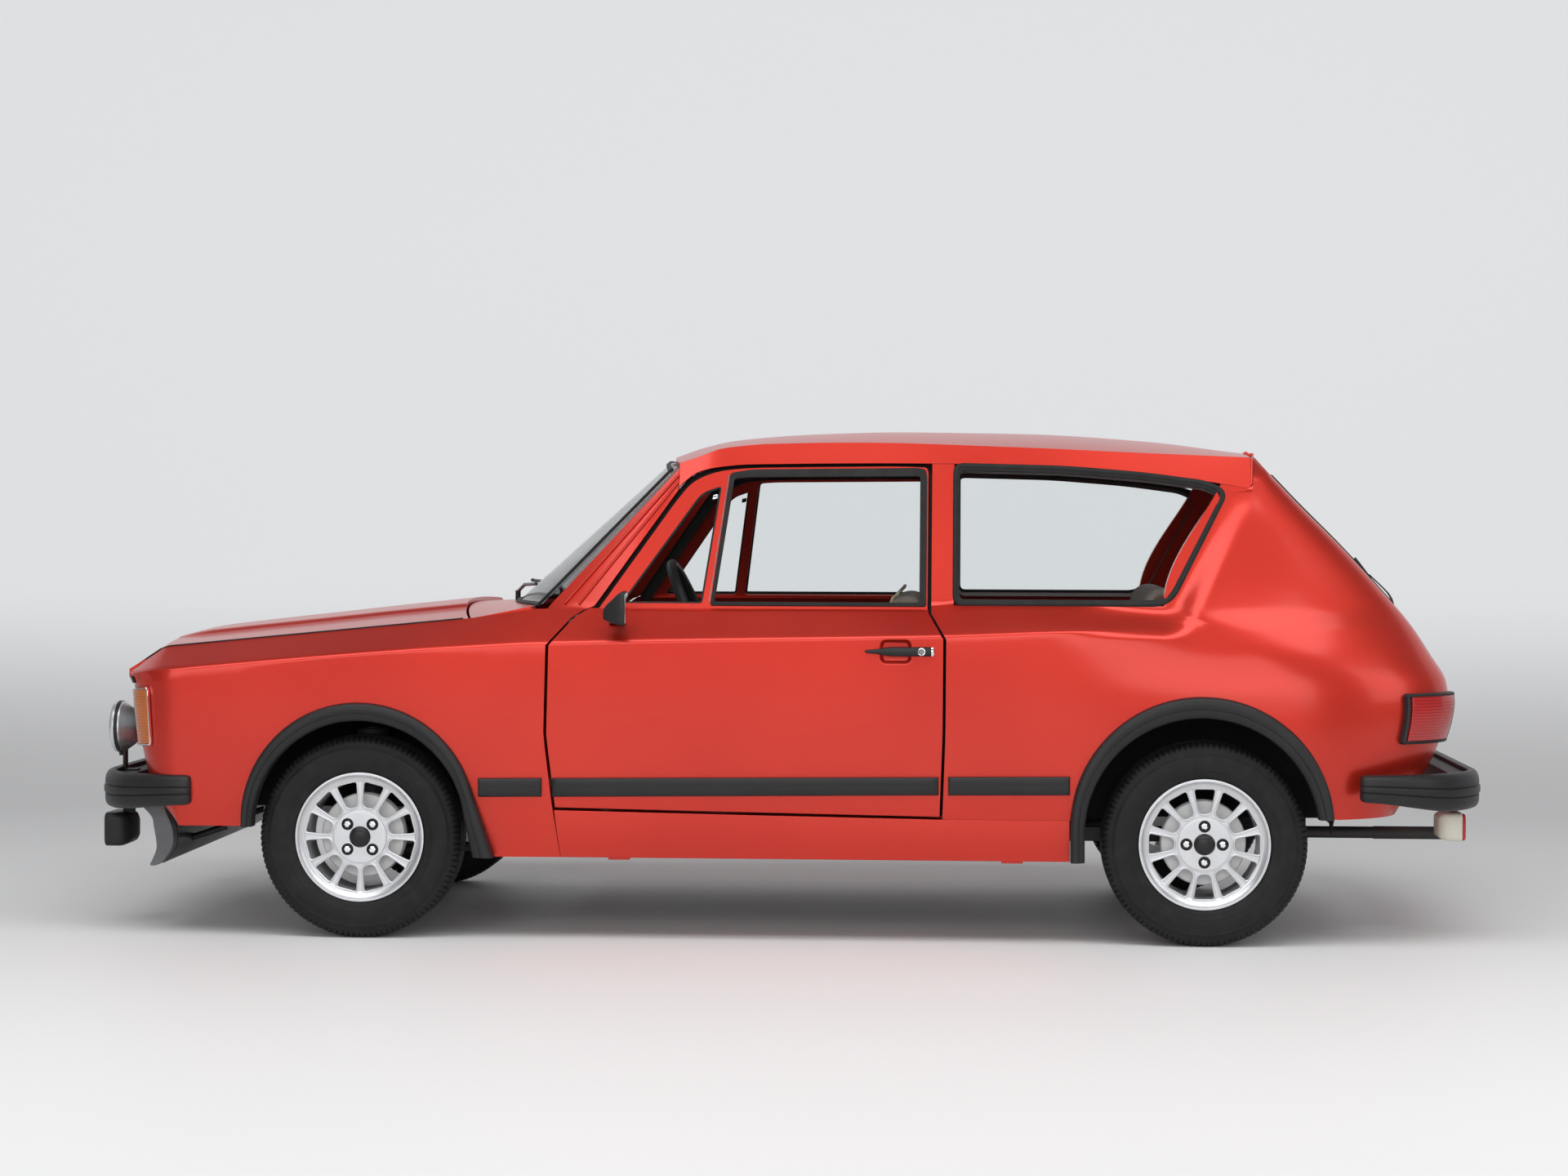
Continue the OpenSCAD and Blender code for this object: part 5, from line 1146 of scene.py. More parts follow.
stem_path = smooth_path([(-462, MIRROR_Y, 916), (-460, -770, 911), (-457, -748, 905)])
stem = joined(sweep(circle(12, 14), stem_path, up=(1, 0, 0)), strip_shape((-478, 889, 918), (-436, 889, 918)))
handle_half = Line([(240, 4), (262, 6), (290, 10), (312, 13), (440, 13)])
handle_out = Line([(240, 8), (270, 11), (310, 16), (440, 16)])


def handle_ring(x, scale=1.0):
    """Section of the door handle: thin at its front end, full towards the lock."""
    half, out, face = handle_half(x) * scale, handle_out(x) * scale, side_half(HANDLE_Z, crease_line(x))
    return [(x, -(face + d * out), HANDLE_Z + u * half)
            for d, u in ((-0.15, -0.95), (0.25, -1), (0.75, -0.85), (0.97, -0.45), (1, 0), (0.97, 0.45), (0.75, 0.85),
                         (0.25, 1), (-0.15, 0.95))]


handle = loft([handle_ring(240, 0.5), handle_ring(241.5, 0.85)] + [handle_ring(x) for x in span(246, 426, 24)])
handle_cap = loft([handle_ring(424, 1.07), handle_ring(429, 1.07), handle_ring(431.5, 0.95), handle_ring(432, 0.6)])
lock = moved(joined(lathe([(7, 0), (10.5, 0), (10.5, 2.4), (9, 3.4), (7.6, 3), (7, 1)], 28, True),
                    lathe([(0.01, 1.6), (6.4, 1.6), (6.4, 0)], 20)),
             lambda p: (397 + p[0], -(side_half(HANDLE_Z, 859) + 15.4 + p[2]), HANDLE_Z + p[1]))
mirror_face = prism(oblong(33, 43, 13), 0, 2, lambda a, b, h: (-424 + h - 1, MIRROR_Y + a, MIRROR_Z + b), 1)
for name, side in SIDES:
    body = "door_" + name
    door_strip = strip_shape((-632, 407, 459), (445, 420, 470))
    piece(body + "_trim", on_side(joined(door_strip, mirror_shape(), stem, handle), side), BLACK,
          body, 0, 50, (body + "_fittings",))
    piece(body + "_lock", on_side(joined(lock, handle_cap, mirror_face), side), BRIGHT, body)

# Lamps, grille and spoiler


def facing_front(x0, y0, z0):
    """Maps a lathe about Z to one facing -X at a place."""
    return lambda p: (x0 - p[2], y0 + p[0], z0 + p[1])


AUX_Y, AUX_Z, AUX_X, DRIVE_Z = HALF_WIDTH - 350, 572, -1961, 277
at_aux_lamp = facing_front(AUX_X, -AUX_Y, AUX_Z)
aux_shell = moved(lathe([(30, -74), (38, -72), (52, -58), (66, -38), (71, -30), (74, -26), (74, -4), (72.5, -1.5),
                         (70, 0), (66, -1), (66, -8), (30, -12)], 64), at_aux_lamp)
aux_cup = moved(lathe([(0.01, -80), (24, -80), (30, -76), (40, -71), (40, -64), (0.01, -64)], 40), at_aux_lamp)
aux_lens = moved(lathe([(0.01, 5), (20, 4.4), (40, 2.2), (58, -2), (66.5, -5), (66.5, -9), (0.01, -9)], 64),
                 at_aux_lamp)
aux_clip = moved(joined(lathe([(73.5, -24), (76, -24), (76, -13), (73.5, -13)], 64, True),
                        box((-9, -84, -24), (9, -74, -13))), at_aux_lamp)
aux_bracket = joined(box((-1935, -AUX_Y - 15, 444.4), (-1927, -AUX_Y + 15, 508)),
                     box((-1935, -AUX_Y - 15, 444.4), (-1891, -AUX_Y + 15, 450)))
drive_outline = oblong(75, 49, 22)
drive_body = shell(drive_outline, -AUX_Y, DRIVE_Z, (
    (-1967, 0.84), (-1974, 0.87), (-1975, 0.93), (-1973, 0.985), (-1968, 1), (-1935, 1), (-1922, 0.96), (-1908, 0.8),
    (-1899, 0.55)))
drive_lens = prism([(a * 0.85, b * 0.85) for a, b in drive_outline], -4, 0.8,
                   lambda a, b, h: (-1971 - h, -AUX_Y + a, DRIVE_Z + b), 0.8)
drive_foot = box((-1935, -AUX_Y - 15, 320), (-1905, -AUX_Y + 15, 367.7))
piece("auxiliary_lamp_shells", mirrored(aux_shell), ALLOY, "body", 0, 40, ("auxiliary_lamps",))
piece("auxiliary_lamp_lenses", mirrored(joined(aux_lens, drive_lens)), CLEAR, "body")
piece("auxiliary_lamp_brackets", mirrored(joined(aux_cup, aux_clip, aux_bracket, drive_body, drive_foot)), BLACK,
      "body", 1.5, 40)

HEAD_Y, HEAD_Z = 533, 646
head_outline = oblong(98, 75, 14)
head_x = nose_x(HEAD_Y, HEAD_Z)


def at_headlamp(a, b, h):
    return head_x - h, -HEAD_Y + a, HEAD_Z + b


head_rim = holed([head_outline, [(a * 0.92, b * 0.9) for a, b in head_outline]], -24, 4, at_headlamp)
head_bowl = shell(head_outline, -HEAD_Y, HEAD_Z, [
    (head_x + deep, scale) for deep, scale in ((4, 0.915), (18, 0.86), (34, 0.62), (44, 0.3), (46, 0.1))])
head_lens = prism([(a * 0.93, b * 0.92) for a, b in head_outline], -4, 2, at_headlamp, 2)
piece("headlamp_rims", mirrored(head_rim), BLACK, "body", 1.5, 40, ("headlamps",))
piece("headlamp_bowls", mirrored(head_bowl), BRIGHT, "body")
piece("headlamp_lenses", mirrored(head_lens), CLEAR, "body")


def nose_strip(half, low, high, *depths):
    """Strip across the nose between two heights, from a front to a back depth behind its face."""
    return plate(*[[[(nose_x(y, z) + deep, y, z) for z in (low, high)] for y in span(half, -half, 24)]
                   for deep in depths])


grille_parts = [nose_strip(NOSE_Y - 0.3, 556, 738, 92, 100), nose_strip(NOSE_Y - 0.3, 552.3, 570.7, 3, 96)]
for k in range(7):
    low = mix(568, 719, k / 6)
    grille_parts.append(nose_strip(425, low, low + 7, 4, 26))
for y in (-421, -4, 413):
    grille_parts.append(plate(*[[[(nose_x(y, z) + deep, y + d, z) for z in (556, 738)] for d in (8, 0)]
                                for deep in (12, 96)]))
piece("grille_slats", joined(*grille_parts), SATIN, "body", 1.2, 40, ("grille",))


def corner_plate(outer, inner, low, high, end):
    """Plate on the rounded front corner between two heights, from the nose round to a share of the turn."""
    return plate(*[[[wing_corner_point(t, v, -out) for v in span(low, high, 10)] for t in span(1.0, end, 14)]
                   for out in (outer, inner)])


piece("indicator_lenses", mirrored(corner_plate(12, 1, 0.53, 0.885, 0.4)), AMBER, "body", 2, 40,
      ("indicators",))
indicator_ring = border(lambda t, v: wing_corner_point(t, v, -8), ((1, 0.524), (0.4, 0.524), 12),
                        ((0.388, 0.54), (0.388, 0.875), 8), ((0.4, 0.891), (1, 0.891), 12))
piece("indicator_frames", mirrored(sweep([(-2.5, -5), (2.5, -5), (2.5, 3), (1.2, 5), (-1.2, 5), (-2.5, 3)],
                                         indicator_ring, up=(-0.3, -1, 0))), BRIGHT, "body")
piece("grille_top_ends", mirrored(corner_plate(6, 0.5, 0.93, 0.975, 0.7)), SATIN, "body", 2, 40)

LAMP_TURNS, LAMP_LOW, LAMP_HIGH = (0.5, 0.86), 574, 698


def tail_lamp_point(t, z, out):
    """On the rounded tail corner at a share of the turn and a height."""
    crease = crease_line(mix(QUARTER_BASE_X, 1842, math.sin(math.pi / 2 * t)))
    low = QUARTER_LOW_Z + 6
    return quarter_turn_point(t, low, (z - low) / (crease - low), -out)


lens = [[[tail_lamp_point(t, z, out) for z in span(LAMP_LOW, LAMP_HIGH, 10)] for t in span(*LAMP_TURNS, 16)]
        for out in (20, 3)]
piece("tail_lamp_lenses", mirrored(plate(*lens)), RED, "body", 3, 40, ("tail_lamps",))
rim_path = border(lambda t, z: tail_lamp_point(t, z, 10), ((0.49, LAMP_LOW - 3), (0.87, LAMP_LOW - 3), 14),
                  ((0.875, LAMP_LOW), (0.875, LAMP_HIGH), 8), ((0.87, LAMP_HIGH + 3), (0.49, LAMP_HIGH + 3), 14),
                  ((0.485, LAMP_HIGH), (0.485, LAMP_LOW), 8))
piece("tail_lamp_rims", mirrored(sweep([(-5, -9), (5, -9), (5, 7), (2, 11), (-2, 11), (-5, 7)], rim_path, True,
                                       (0.6, -0.8, 0))), BLACK, "body")

spoiler_section = smooth_path([(-1830, 361.7, 0), (-1800, 330, 0), (-1793, 300, 0), (-1785, 243, 0), (-1798, 205, 0),
                               (-1804, 191, 0), (-1790, 189, 0), (-1770, 199, 0), (-1744, 235, 0), (-1737, 262, 0),
                               (-1742, 302, 0), (-1758, 340, 0), (-1765, 361.7, 0)], 4)
blade = loft([[(p[0], y, p[1]) for p in spoiler_section] for y in span(-640, 640, 16)])
stays = [sweep(circle(10, 14), [(-1745, y, 245), (-1640, y, 280)]) for y in (-400, 400)]
piece("chin_spoiler", blade, GREY, "body", 0, 50, ("front_spoiler",))
# The satin black skin laid over the blade's back face is painted shade: it draws that shadowed face black.
back_rows = [(p[0] + 1.6, p[1] - 0.6) for p in spoiler_section[26:48]]
back_face_shade_skin = plate([[(x, y, z) for x, z in back_rows] for y in span(-590, 590, 12)],
                  [[(x - 6, y, z + 2) for x, z in back_rows] for y in span(-590, 590, 12)])
piece("spoiler_stays_and_back_shade", joined(back_face_shade_skin, *stays), SATIN, "body")

FOG_LAMP = oblong(65, 40, 14), -450, 318
fog_body = shell(*FOG_LAMP, ((1858, 0.7), (1866, 0.86), (1880, 0.96), (1900, 1), (1922, 1), (1923, 0.97)))
fog_lens = shell(*FOG_LAMP, ((1922, 0.96), (1930, 0.95), (1933, 0.9), (1934, 0.5)))
piece("rear_fog_lamp_body", fog_body, PALE, "body", 0, 40, ("rear_fog_lamp",))
piece("rear_fog_lamp_lens", fog_lens, RED, "body")
fog_foot = joined(box((1894, -462, 350), (1910, -438, 393.7)),
                  moved(lathe([(0.01, -3), (8, -3), (8, 6), (6, 8), (0.01, 8)], 6),
                        lambda p: (1902 + p[0], -462 - p[2], 366 + p[1])))
piece("rear_fog_lamp_bracket", fog_foot, SATIN, "body", 1)

# Wheels


def wheel_place(x, side, turn):
    """Maps the wheel's own frame (axis out of the wheel along Z) to its place on the car."""
    c, s = math.cos(turn), math.sin(turn)

    def place(p):
        a, b = p[0] * c - p[1] * s, p[0] * s + p[1] * c
        return x + a, side * (WHEEL_Y + p[2]), TYRE_R + b
    return place


def slot_outline(grow=0.0):
    """A wedge-shaped slot with rounded corners, about the X axis."""
    half = math.radians(11)
    inner, outer = 84 - grow, 153 + grow
    a, b = inner * math.sin(half) + grow, outer * math.sin(half) + grow
    return rounded([(inner, -a), (outer, -b), (outer, b), (inner, a)], [15, 10, 10, 15], 5)


def turned(outline, angle):
    c, s = math.cos(angle), math.sin(angle)
    return [(x * c - y * s, x * s + y * c) for x, y in outline]


SLOTS = [math.radians(30 * k + 15) for k in range(12)]
NUTS, NUT_R = [math.radians(90 * k + 45) for k in range(4)], 50
disc = holed([circle(156, 96), circle(78, 96)] + [turned(slot_outline(), a) for a in SLOTS], 44, 55,
             lambda x, y, h: (x, y, h))
beads = [sweep([(-2.8, -2), (2.8, -2), (2.8, 0.8), (1, 2.6), (-1, 2.6), (-2.8, 0.8)],
               [(*p, 55.3) for p in turned(slot_outline(2.4), a)], True) for a in SLOTS]
barrel = lathe([(78, 45), (78, 52.5), (74.5, 52.5), (74.5, 58.5), (73.4, 60), (70, 60.3), (70, 45)], 96, True)
nut_holes = [[(NUT_R * math.cos(a) + u, NUT_R * math.sin(a) + v) for u, v in circle(17, 28)] for a in NUTS]
hub_face = holed([circle(72, 96), circle(29, 96)] + nut_holes, 44, 60, lambda x, y, h: (x, y, h))
rim_shell = lathe([(155, 44), (155, 55), (158, 57), (162, 58.5), (168, 62), (173, 67), (175, 69.6), (176.5, 69),
                   (178, 69.8), (182, 69.5), (182, 63), (160, 58), (160, -58), (182, -63), (182, -70), (152, -70),
                   (152, 36)], 128, True)


def at_nuts(shape):
    return joined(*[moved(shape, lambda p: (NUT_R * math.cos(a) + p[0], NUT_R * math.sin(a) + p[1], p[2]))
                    for a in NUTS])


cup = at_nuts(lathe([(17, 58), (16.4, 48), (0.01, 47)], 28))
nut = at_nuts(lathe([(0.01, 66), (7, 66), (9.6, 64), (9.6, 48)], 6))
cap = lathe([(30, 58), (30, 62), (28, 66), (24, 72), (16, 75.4), (6, 76.6), (0.01, 76.8)], 48)
well = lathe([(0.01, 40), (72, 40), (72, 44)], 48)
drum = lathe([(0.01, 10), (60, 10), (108, 12), (116, 10), (119, 5), (119, -30), (100, -34), (0.01, -34)], 72)
TYRE_SECTION = [(160.4, 57.2), (182.4, 62.2), (183.5, 66), (186, 69.5), (191, 71.5), (200, 74), (207, 75.6),
                (208, 76.4), (210, 76.4), (211, 75.9), (216, 77.2), (228, 77.5), (240, 76.9), (248, 75.9),
                (249, 76.6), (251, 76.6), (252, 75.4), (262, 73.2), (268, 70.8), (273, 68.5), (277, 65.5),
                (281, 60), (284, 54), (285, 50), (285, 40), (279, 38), (279, 33), (285, 31), (285, 6), (279, 4)]


def tyre_shape():
    section = TYRE_SECTION + [(r, -h) for r, h in reversed(TYRE_SECTION)]
    points, faces = lathe(section, 432, True)
    n = len(section)
    cut = []
    for index, (x, y, h) in enumerate(points):
        r = math.hypot(x, y)
        shoulder = 270 < r and abs(h) > 41 and index // n % 4 == 0
        scale = (r - 3.4) / r if shoulder else 1
        cut.append((x * scale, y * scale, h - math.copysign(1.8, h) if shoulder else h))
    return cut, faces


tyre_mesh = tyre_shape()
WHEELS = [(end + "_" + name, x, side, turn) for end, x, turn in (("front", FRONT_X, 0), ("rear", REAR_X, math.pi / 4))
          for name, side in SIDES]
for name, x, side, turn in WHEELS:
    place = wheel_place(x, side, turn)
    body = "wheel_" + name
    piece("rim_" + name + "_face", moved(joined(disc, *beads, barrel, hub_face, rim_shell), place), ALLOY, body,
          0, 32, ("rim_" + name,))
    piece("rim_" + name + "_nuts", moved(nut, place), BRIGHT, body)
    piece("rim_" + name + "_cap", moved(joined(cap, cup, well), place), SATIN, body, 0, 40)
    piece("tyre_" + name + "_rubber", moved(tyre_mesh, place), TYRE, body, 0, 40, ("tyre_" + name,))
    carrier = "knuckle_" + name.split("_")[1] if name.startswith("front") else "body"
    piece("brake_drum_" + name, moved(drum, place), DRUM, carrier, 0, 40)

# Cabin and underbody


def collar_point(angle, share, out):
    """Between the rim of the left rear wheel house (share 0) and the arch of the panel outside it (share 1)."""
    c, s = math.cos(math.radians(angle)), math.sin(math.radians(angle))
    x = mix(REAR_X + (351 + out) * c, REAR_ARCH[0] + (364 + out) * c, share)
    return x, -mix(688, 740, share), mix(TYRE_R + (351 + out) * s, REAR_ARCH[1] + (364 + out) * s, share)


dress(UNDERSEAL, "wheel_houses")
collar = [[[collar_point(a, t, out) for t in span(0, 1, 4)] for a in span(5, 175, 60)] for out in (0, 4)]
piece("rear_wheel_house_collars", mirrored(plate(*collar)), UNDERSEAL, "body", 0, 40)
dress(STEEL, "floor_pan", "front_axle", "rear_axle", "knuckle_left", "knuckle_right")
dress(PIPE, "exhaust")
dress(CAST, "engine")
piece("bay_corner_walls", mirrored(box((-716, 600, 420), (-704, 664, 905))), STEEL, "body", 1)
dress(VINYL, "dashboard")
dress(SATIN, "front_wipers")
wiper_arm = smooth_path([tailgate_point(0, 905, -14), tailgate_point(-0.02, 915, -30), tailgate_point(-0.12, 944, -34),
                         tailgate_point(-0.3, 1004, -22)], 6)
wiper_parts = [sweep([(-5, -2), (5, -2), (4, 2), (-4, 2)], wiper_arm, up=(0.7, 0, 0.7)),
               sweep(circle(9, 14), [tailgate_point(0, 905, -1), tailgate_point(0, 905, -24)], up=(0, 1, 0)),
               sweep([(-4, -5), (4, -5), (2, 5), (-2, 5)], [tailgate_point(mix(-0.14, -0.46, t), mix(951, 1057, t), -16)
                                                           for t in span(0, 1, 8)], up=(0.7, 0, 0.7))]
piece("rear_wiper_arm", joined(*wiper_parts), SATIN, "tailgate", 0, 40, ("rear_wiper",))


STEER_RAKE = math.radians(24)


def on_steering(p):
    """Maps the steering wheel's own frame (axis towards the driver along Z) to its place."""
    c, k = math.cos(STEER_RAKE), math.sin(STEER_RAKE)
    x, y, h = p
    return -267 + x * k + h * c, -350.1 + y, 895 - x * c + h * k


grip = [(a * (1 - 0.06 * (k % 2)), b * (1 - 0.06 * (k % 2))) for k, (a, b) in enumerate(circle(15, 16))]
rim_ring = sweep(grip, [(171 * math.cos(a), 171 * math.sin(a), 0) for a in span(0, 2 * math.pi, 72)[:-1]], True)
spoke = [rounded([(30, -19), (90, -13), (163, -17), (163, 17), (90, 13), (30, 19)], 5)] + [
    [(x + u, v) for u, v in circle(r, 18)] for x, r in ((72, 7), (98, 6.5), (123, 6))]
spokes = [holed([turned(o, math.radians(a)) for o in spoke], -13, -6, lambda x, y, h: (x, y, h)) for a in (0, 90, 180)]
hub = lathe([(0.01, 6), (20, 5.6), (34, 3), (40, -2), (42, -8), (42, -24), (0.01, -24)], 48)
piece("steering_wheel_rim", moved(joined(rim_ring, hub), on_steering), VINYL, "steering_wheel", 0, 40,
      ("steering_wheel",))
piece("steering_wheel_spokes", moved(joined(*spokes), on_steering), SATIN, "steering_wheel", 0.8, 40)

# Seats


PAD_SHRINK, PAD_MESH, PAD_FRAMES, PAD_PRESSURE, PAD_CAP = 0.965, 0.009, 20, 4, 9
CHANNEL_HALF, CHANNEL_DEEP = 8, 6


def pad_shape(outline, y, half, corner):
    """Pad over a side outline of (x, z) rows, carried across the seat and drawn in at its ends."""
    line = rounded(outline, corner, 5)
    centre = sum((Vector(p) for p in line), Vector((0, 0))) / len(line)
    rings = []
    for u in span(-1, 1, 20):
        scale = PAD_SHRINK * (1 - 0.09 * abs(u) ** 7)
        ring = [centre + (Vector(p) - centre) * scale for p in line]
        rings.append([(q.x, y + u * half * PAD_SHRINK, q.y) for q in ring])
    return loft(rings)


def settle(made, finish):
    """Replaces a mesh by what its modifiers show."""
    shown = made.evaluated_get(bpy.context.evaluated_depsgraph_get())
    mesh = bpy.data.meshes.new_from_object(shown)
    made.modifiers.clear()
    made.data = mesh
    mesh.materials.clear()
    mesh.materials.append(finish)
    mesh.shade_smooth()


def padded(name, shape, finish, channels, stands_for=()):
    """Blows a pad up as cloth, no point moving beyond the cap; channels are (axis, place in mm) of sewn lines."""
    made = piece(name, shape, finish, "body", 0, 180, stands_for)
    even = made.modifiers.new("even_mesh", "REMESH")
    even.mode, even.voxel_size = "VOXEL", PAD_MESH
    settle(made, finish)
    before = [v.co.copy() for v in made.data.vertices]
    cover = made.modifiers.new("cloth_cover", "CLOTH")
    cover.settings.use_pressure = True
    cover.settings.uniform_pressure_force = PAD_PRESSURE
    cover.settings.effector_weights.gravity = 0
    cover.point_cache.frame_start, cover.point_cache.frame_end = 1, PAD_FRAMES
    for number in range(1, PAD_FRAMES + 1):
        bpy.context.scene.frame_set(number)
    settle(made, finish)
    bpy.context.scene.frame_set(1)
    for vertex, place in zip(made.data.vertices, before):
        step = vertex.co - place
        if step.length > PAD_CAP * MM:
            vertex.co = place + step.normalized() * PAD_CAP * MM
    normals = [v.normal.copy() for v in made.data.vertices]
    for vertex, normal in zip(made.data.vertices, normals):
        depth = sum(math.exp(-((vertex.co[axis] / MM - place) / CHANNEL_HALF) ** 2) for axis, place in channels)
        if depth and abs(normal.y) < 0.6:
            vertex.co -= normal * depth * CHANNEL_DEEP * MM
    soft = made.modifiers.new("soft_surface", "SUBSURF")
    soft.levels = soft.render_levels = 1


SEAT_Y = 340.1
SEAT_BASE = [(-150, 424), (-160, 500), (-130, 545), (205, 521), (226, 490), (222, 428)]
SEAT_BACK = [(236, 452), (237, 562), (300, 950), (325, 978), (375, 978), (395, 950), (330, 520), (302, 446)]
BENCH_BASE = [(770, 452), (702, 560), (725, 590), (950, 572), (985, 540), (985, 452)]
BENCH_BACK = [(992, 470), (1000, 612), (1045, 985), (1065, 1005), (1105, 1005), (1125, 985), (1066, 470)]
bench_half = nodes["rear_seat"].dimensions.y / 2 / MM
for name, side in SIDES:
    y = side * SEAT_Y
    padded("front_seat_cushion_" + name, pad_shape(SEAT_BASE, y, 233, 46), TAN, [(0, -60), (0, 30), (0, 120)],
           ("front_seats",) if side < 0 else ())
    padded("front_seat_back_" + name, pad_shape(SEAT_BACK, y, 228, 36), TAN, [(1, y - 130), (1, y), (1, y + 130)])
    rails = [joined(box((-120, y + d - 10, 278.6), (280, y + d + 10, 300)),
                    box((-100, y + d - 8, 300), (-60, y + d + 8, 428)),
                    box((220, y + d - 8, 300), (260, y + d + 8, 432))) for d in (-160, 160)]
    piece("front_seat_rails_" + name, joined(*rails), STEEL, "body", 2)
    half_welt = [(262, 216, 690), (302, 219, 930), (322, 205, 968), (326, 150, 975), (327, 0, 977)]
    welt = smooth_path([(x, y - d, z) for x, d, z in half_welt] + [(x, y + d, z) for x, d, z in half_welt[-2::-1]], 6)
    piece("front_seat_piping_" + name, sweep(circle(4.5, 10), welt, up=(1, 0, 0.3)), PIPING, "body")
bench_channels = [(1, y) for y in (-330, -165, 0, 165, 330)]
padded("rear_seat_cushion", pad_shape(BENCH_BASE, 0, bench_half, 40), CLOTH, bench_channels, ("rear_seat",))
padded("rear_seat_back", pad_shape(BENCH_BACK, 0, bench_half, 30), CLOTH, bench_channels)

# Door cards, headlining, mats and instruments


def card_column(s, deep):
    line = []
    for z in span(415, 868, 10):
        x = mix(door_front_line(z) + 70, door_rear_line(z) - 34, s)
        line.append((x, -(side_half(z, 860) - deep), z))
    return line


card = plate(*[[card_column(s, deep) for s in span(0, 1, 16)] for deep in (81, 90)])
rest = sweep(rounded([(-20, -12), (20, -12), (16, 14), (-16, 14)], 9), smooth_path(
    [(-190, -688, 640), (-150, -676, 648), (80, -672, 660), (190, -676, 664), (240, -688, 664)]), up=(0, 0, 1))
winder = joined(moved(lathe([(0.01, 0), (16, 0), (16, 10), (12, 16), (0.01, 16)], 24),
                      lambda p: (-330 + p[0], -690 + p[2], 640 + p[1])),
                sweep(circle(5, 10), [(-330, -676, 640), (-352, -670, 596), (-352, -644, 596)], up=(1, 0, 0)))
for name, side in SIDES:
    body = "door_" + name
    piece(body + "_card", on_side(card, side), LINING, body, 2)
    piece(body + "_arm_rest", on_side(joined(rest, winder), side), VINYL, body, 0, 40)
lining_shares = span(-0.94, 0.94, 24)
piece("headlining", plate(*[[roof_column(u, drop)[6:-1] for u in lining_shares] for drop in (27, 33)]), PIPING, "body")
mat = prism(rounded([(-540, 128), (560, 128), (560, 600), (-540, 600)], 30), 278.4, 287,
            lambda x, y, h: (x, -y, h), 3)
piece("floor_mats", mirrored(mat), CARPET, "body", 0, 40)
hood = [[(x, -350 + u * 150 * (1 - 0.12 * t), z) for x, z, t in ((-520, 899, 0), (-505, 914, 0.3), (-470, 921, 0.7),
                                                               (-432, 916, 1), (-426, 900, 1), (-440, 880, 1))]
        for u in span(-1, 1, 12)]
visor = plate(hood, [[(x - 6, y, z - 9) for x, y, z in column] for column in hood])
piece("instrument_hood", visor, VINYL, "body", 2)


def facing_driver(x0, y0, z0):
    return lambda p: (x0 + p[2], y0 + p[0], z0 + p[1])


dials = [moved(lathe([(r, -6), (r, 4), (r - 2, 5), (r - 4, 1), (0.01, 0)], 40), facing_driver(-424, y, 815))
         for y, r in ((-410, 42), (-290, 42), (-200, 24), (-140, 24))]
piece("instrument_dials", joined(*dials), SATIN, "body", 0, 40)

# Studio


def stage_piece(name, points, faces, finish):
    mesh = bpy.data.meshes.new(name)
    mesh.from_pydata(points, [], faces)
    mesh.shade_smooth()
    mesh.materials.append(finish)
    made = bpy.data.objects.new(name, mesh)
    bpy.context.scene.collection.objects.link(made)


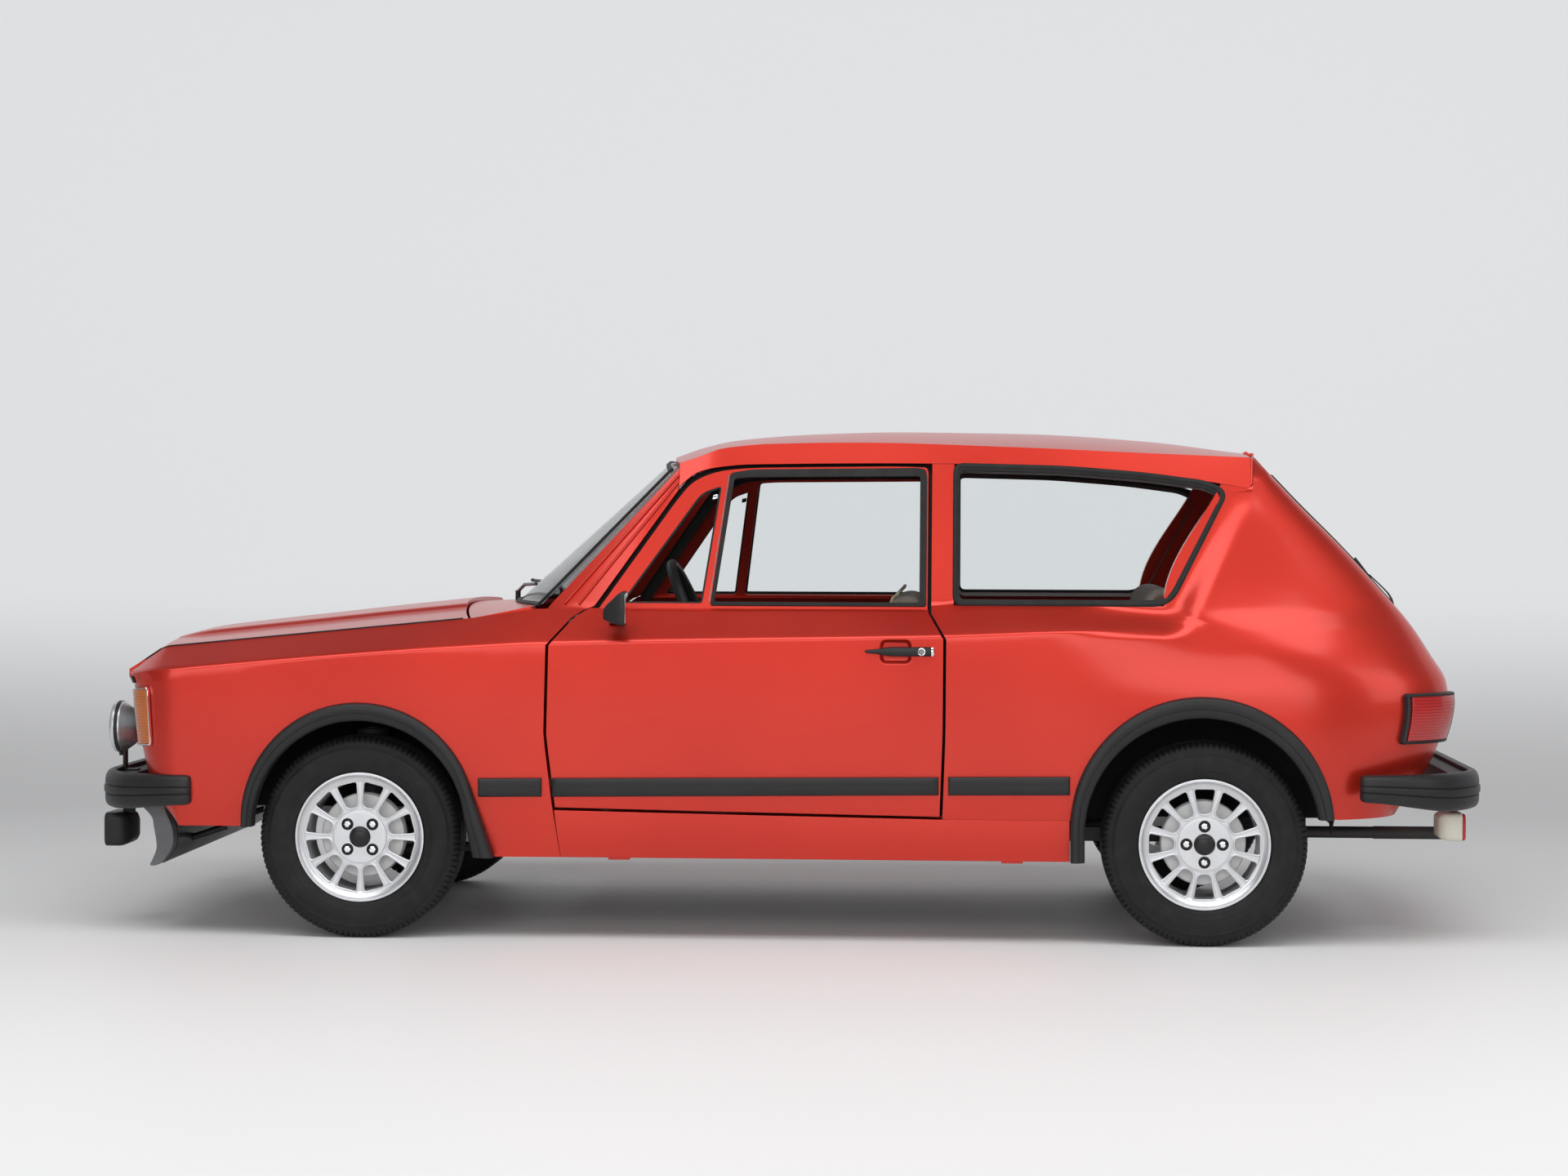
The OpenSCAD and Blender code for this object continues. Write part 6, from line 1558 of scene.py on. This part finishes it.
def studio():
    """Pale floor that curves up into a backdrop, a large soft light above and two weaker ones at the sides."""
    finish = Finish("studio_floor", (0.86, 0.86, 0.86), 0.55)
    finish.shades(finish.noise(0.4, 2), (0.86, 0.86, 0.86), (0.9, 0.9, 0.9))
    seen = sum((finish.node("ShaderNodeLightPath", output=kind) for kind in ("Is Glossy Ray", "Is Transmission Ray")),
               finish.node("ShaderNodeLightPath", output="Is Camera Ray"))
    height = finish.node("ShaderNodeSeparateXYZ", None, {0: finish.place()}, output="Z")
    glow = finish.node("ShaderNodeEmission", None, {"Color": (0.83, 0.84, 0.86, 1), "Strength": 1.0})
    rise = finish.node("ShaderNodeMapRange", {"interpolation_type": "SMOOTHSTEP"},
                       {"Value": height, "From Min": 0.05, "From Max": 0.9})
    shown = finish.node("ShaderNodeMixShader", None,
                        {0: seen * rise * 0.75, 1: Value(finish, finish.shader.outputs[0]), 2: glow})
    finish.put(finish.tree.nodes["Material Output"].inputs["Surface"], shown)
    profile = [(-14.0, 0.0), (3.2, 0.0)]
    profile += [(3.2 + 2.6 * math.sin(a), 2.6 * (1 - math.cos(a))) for a in span(0, math.pi / 2, 20)[1:]] + [(5.8, 9.0)]
    points = [(x, y, z) for y, z in profile for x in (-24.0, 24.0)]
    stage_piece("studio_cove", points, [(2 * k, 2 * k + 1, 2 * k + 3, 2 * k + 2) for k in range(len(profile) - 1)],
                finish.material)
    for name, place, size, power, aim in (("sky_panel", (0, -3.4, 5.6), (9, 3.2), 285, (0, -2.6, 0)),
                                          ("front_panel_light", (-1, -11, 3.5), (12, 4.4), 400, (0, 0, 0.7)),
                                          ("tail_panel_light", (6.5, -4, 3.2), (3, 4), 70, (0.6, 0, 0.7))):
        light = bpy.data.lights.new(name, "AREA")
        light.shape = "RECTANGLE"
        light.size, light.size_y = size
        light.energy = power
        made = bpy.data.objects.new(name, light)
        bpy.context.scene.collection.objects.link(made)
        made.location = place
        made.rotation_euler = (Vector(aim) - Vector(place)).to_track_quat("-Z", "Y").to_euler()
    world = bpy.data.worlds.new("studio_air")
    bpy.context.scene.world = world
    world.use_nodes = True
    world.node_tree.nodes["Background"].inputs["Color"].default_value = (0.9, 0.92, 0.95, 1)
    world.node_tree.nodes["Background"].inputs["Strength"].default_value = 0.22


def camera():
    """The photo's view: its place, its turn (yaw, pitch, roll in radians) and its lens."""
    yaw, pitch, roll = 0.0578, 0.0212, 0.0034
    right = Vector((math.cos(yaw), math.sin(yaw), 0))
    ahead = Vector((-math.sin(yaw), math.cos(yaw), 0))
    above = Vector((0, 0, 1))
    look = ahead * math.cos(pitch) - above * math.sin(pitch)
    up = above * math.cos(pitch) + ahead * math.sin(pitch)
    across, lift = right * math.cos(roll) + up * math.sin(roll), up * math.cos(roll) - right * math.sin(roll)
    data = bpy.data.cameras.new("photo_view")
    data.sensor_width = 36
    data.lens = 72.55
    made = bpy.data.objects.new("photo_view", data)
    turn = Matrix((across, lift, -look)).transposed().to_4x4()
    made.matrix_world = Matrix.Translation((0.5209, -9.526, 1.1785)) @ turn
    bpy.context.scene.collection.objects.link(made)
    bpy.context.scene.camera = made


studio()
camera()
bpy.context.scene.view_settings.view_transform = "Standard"
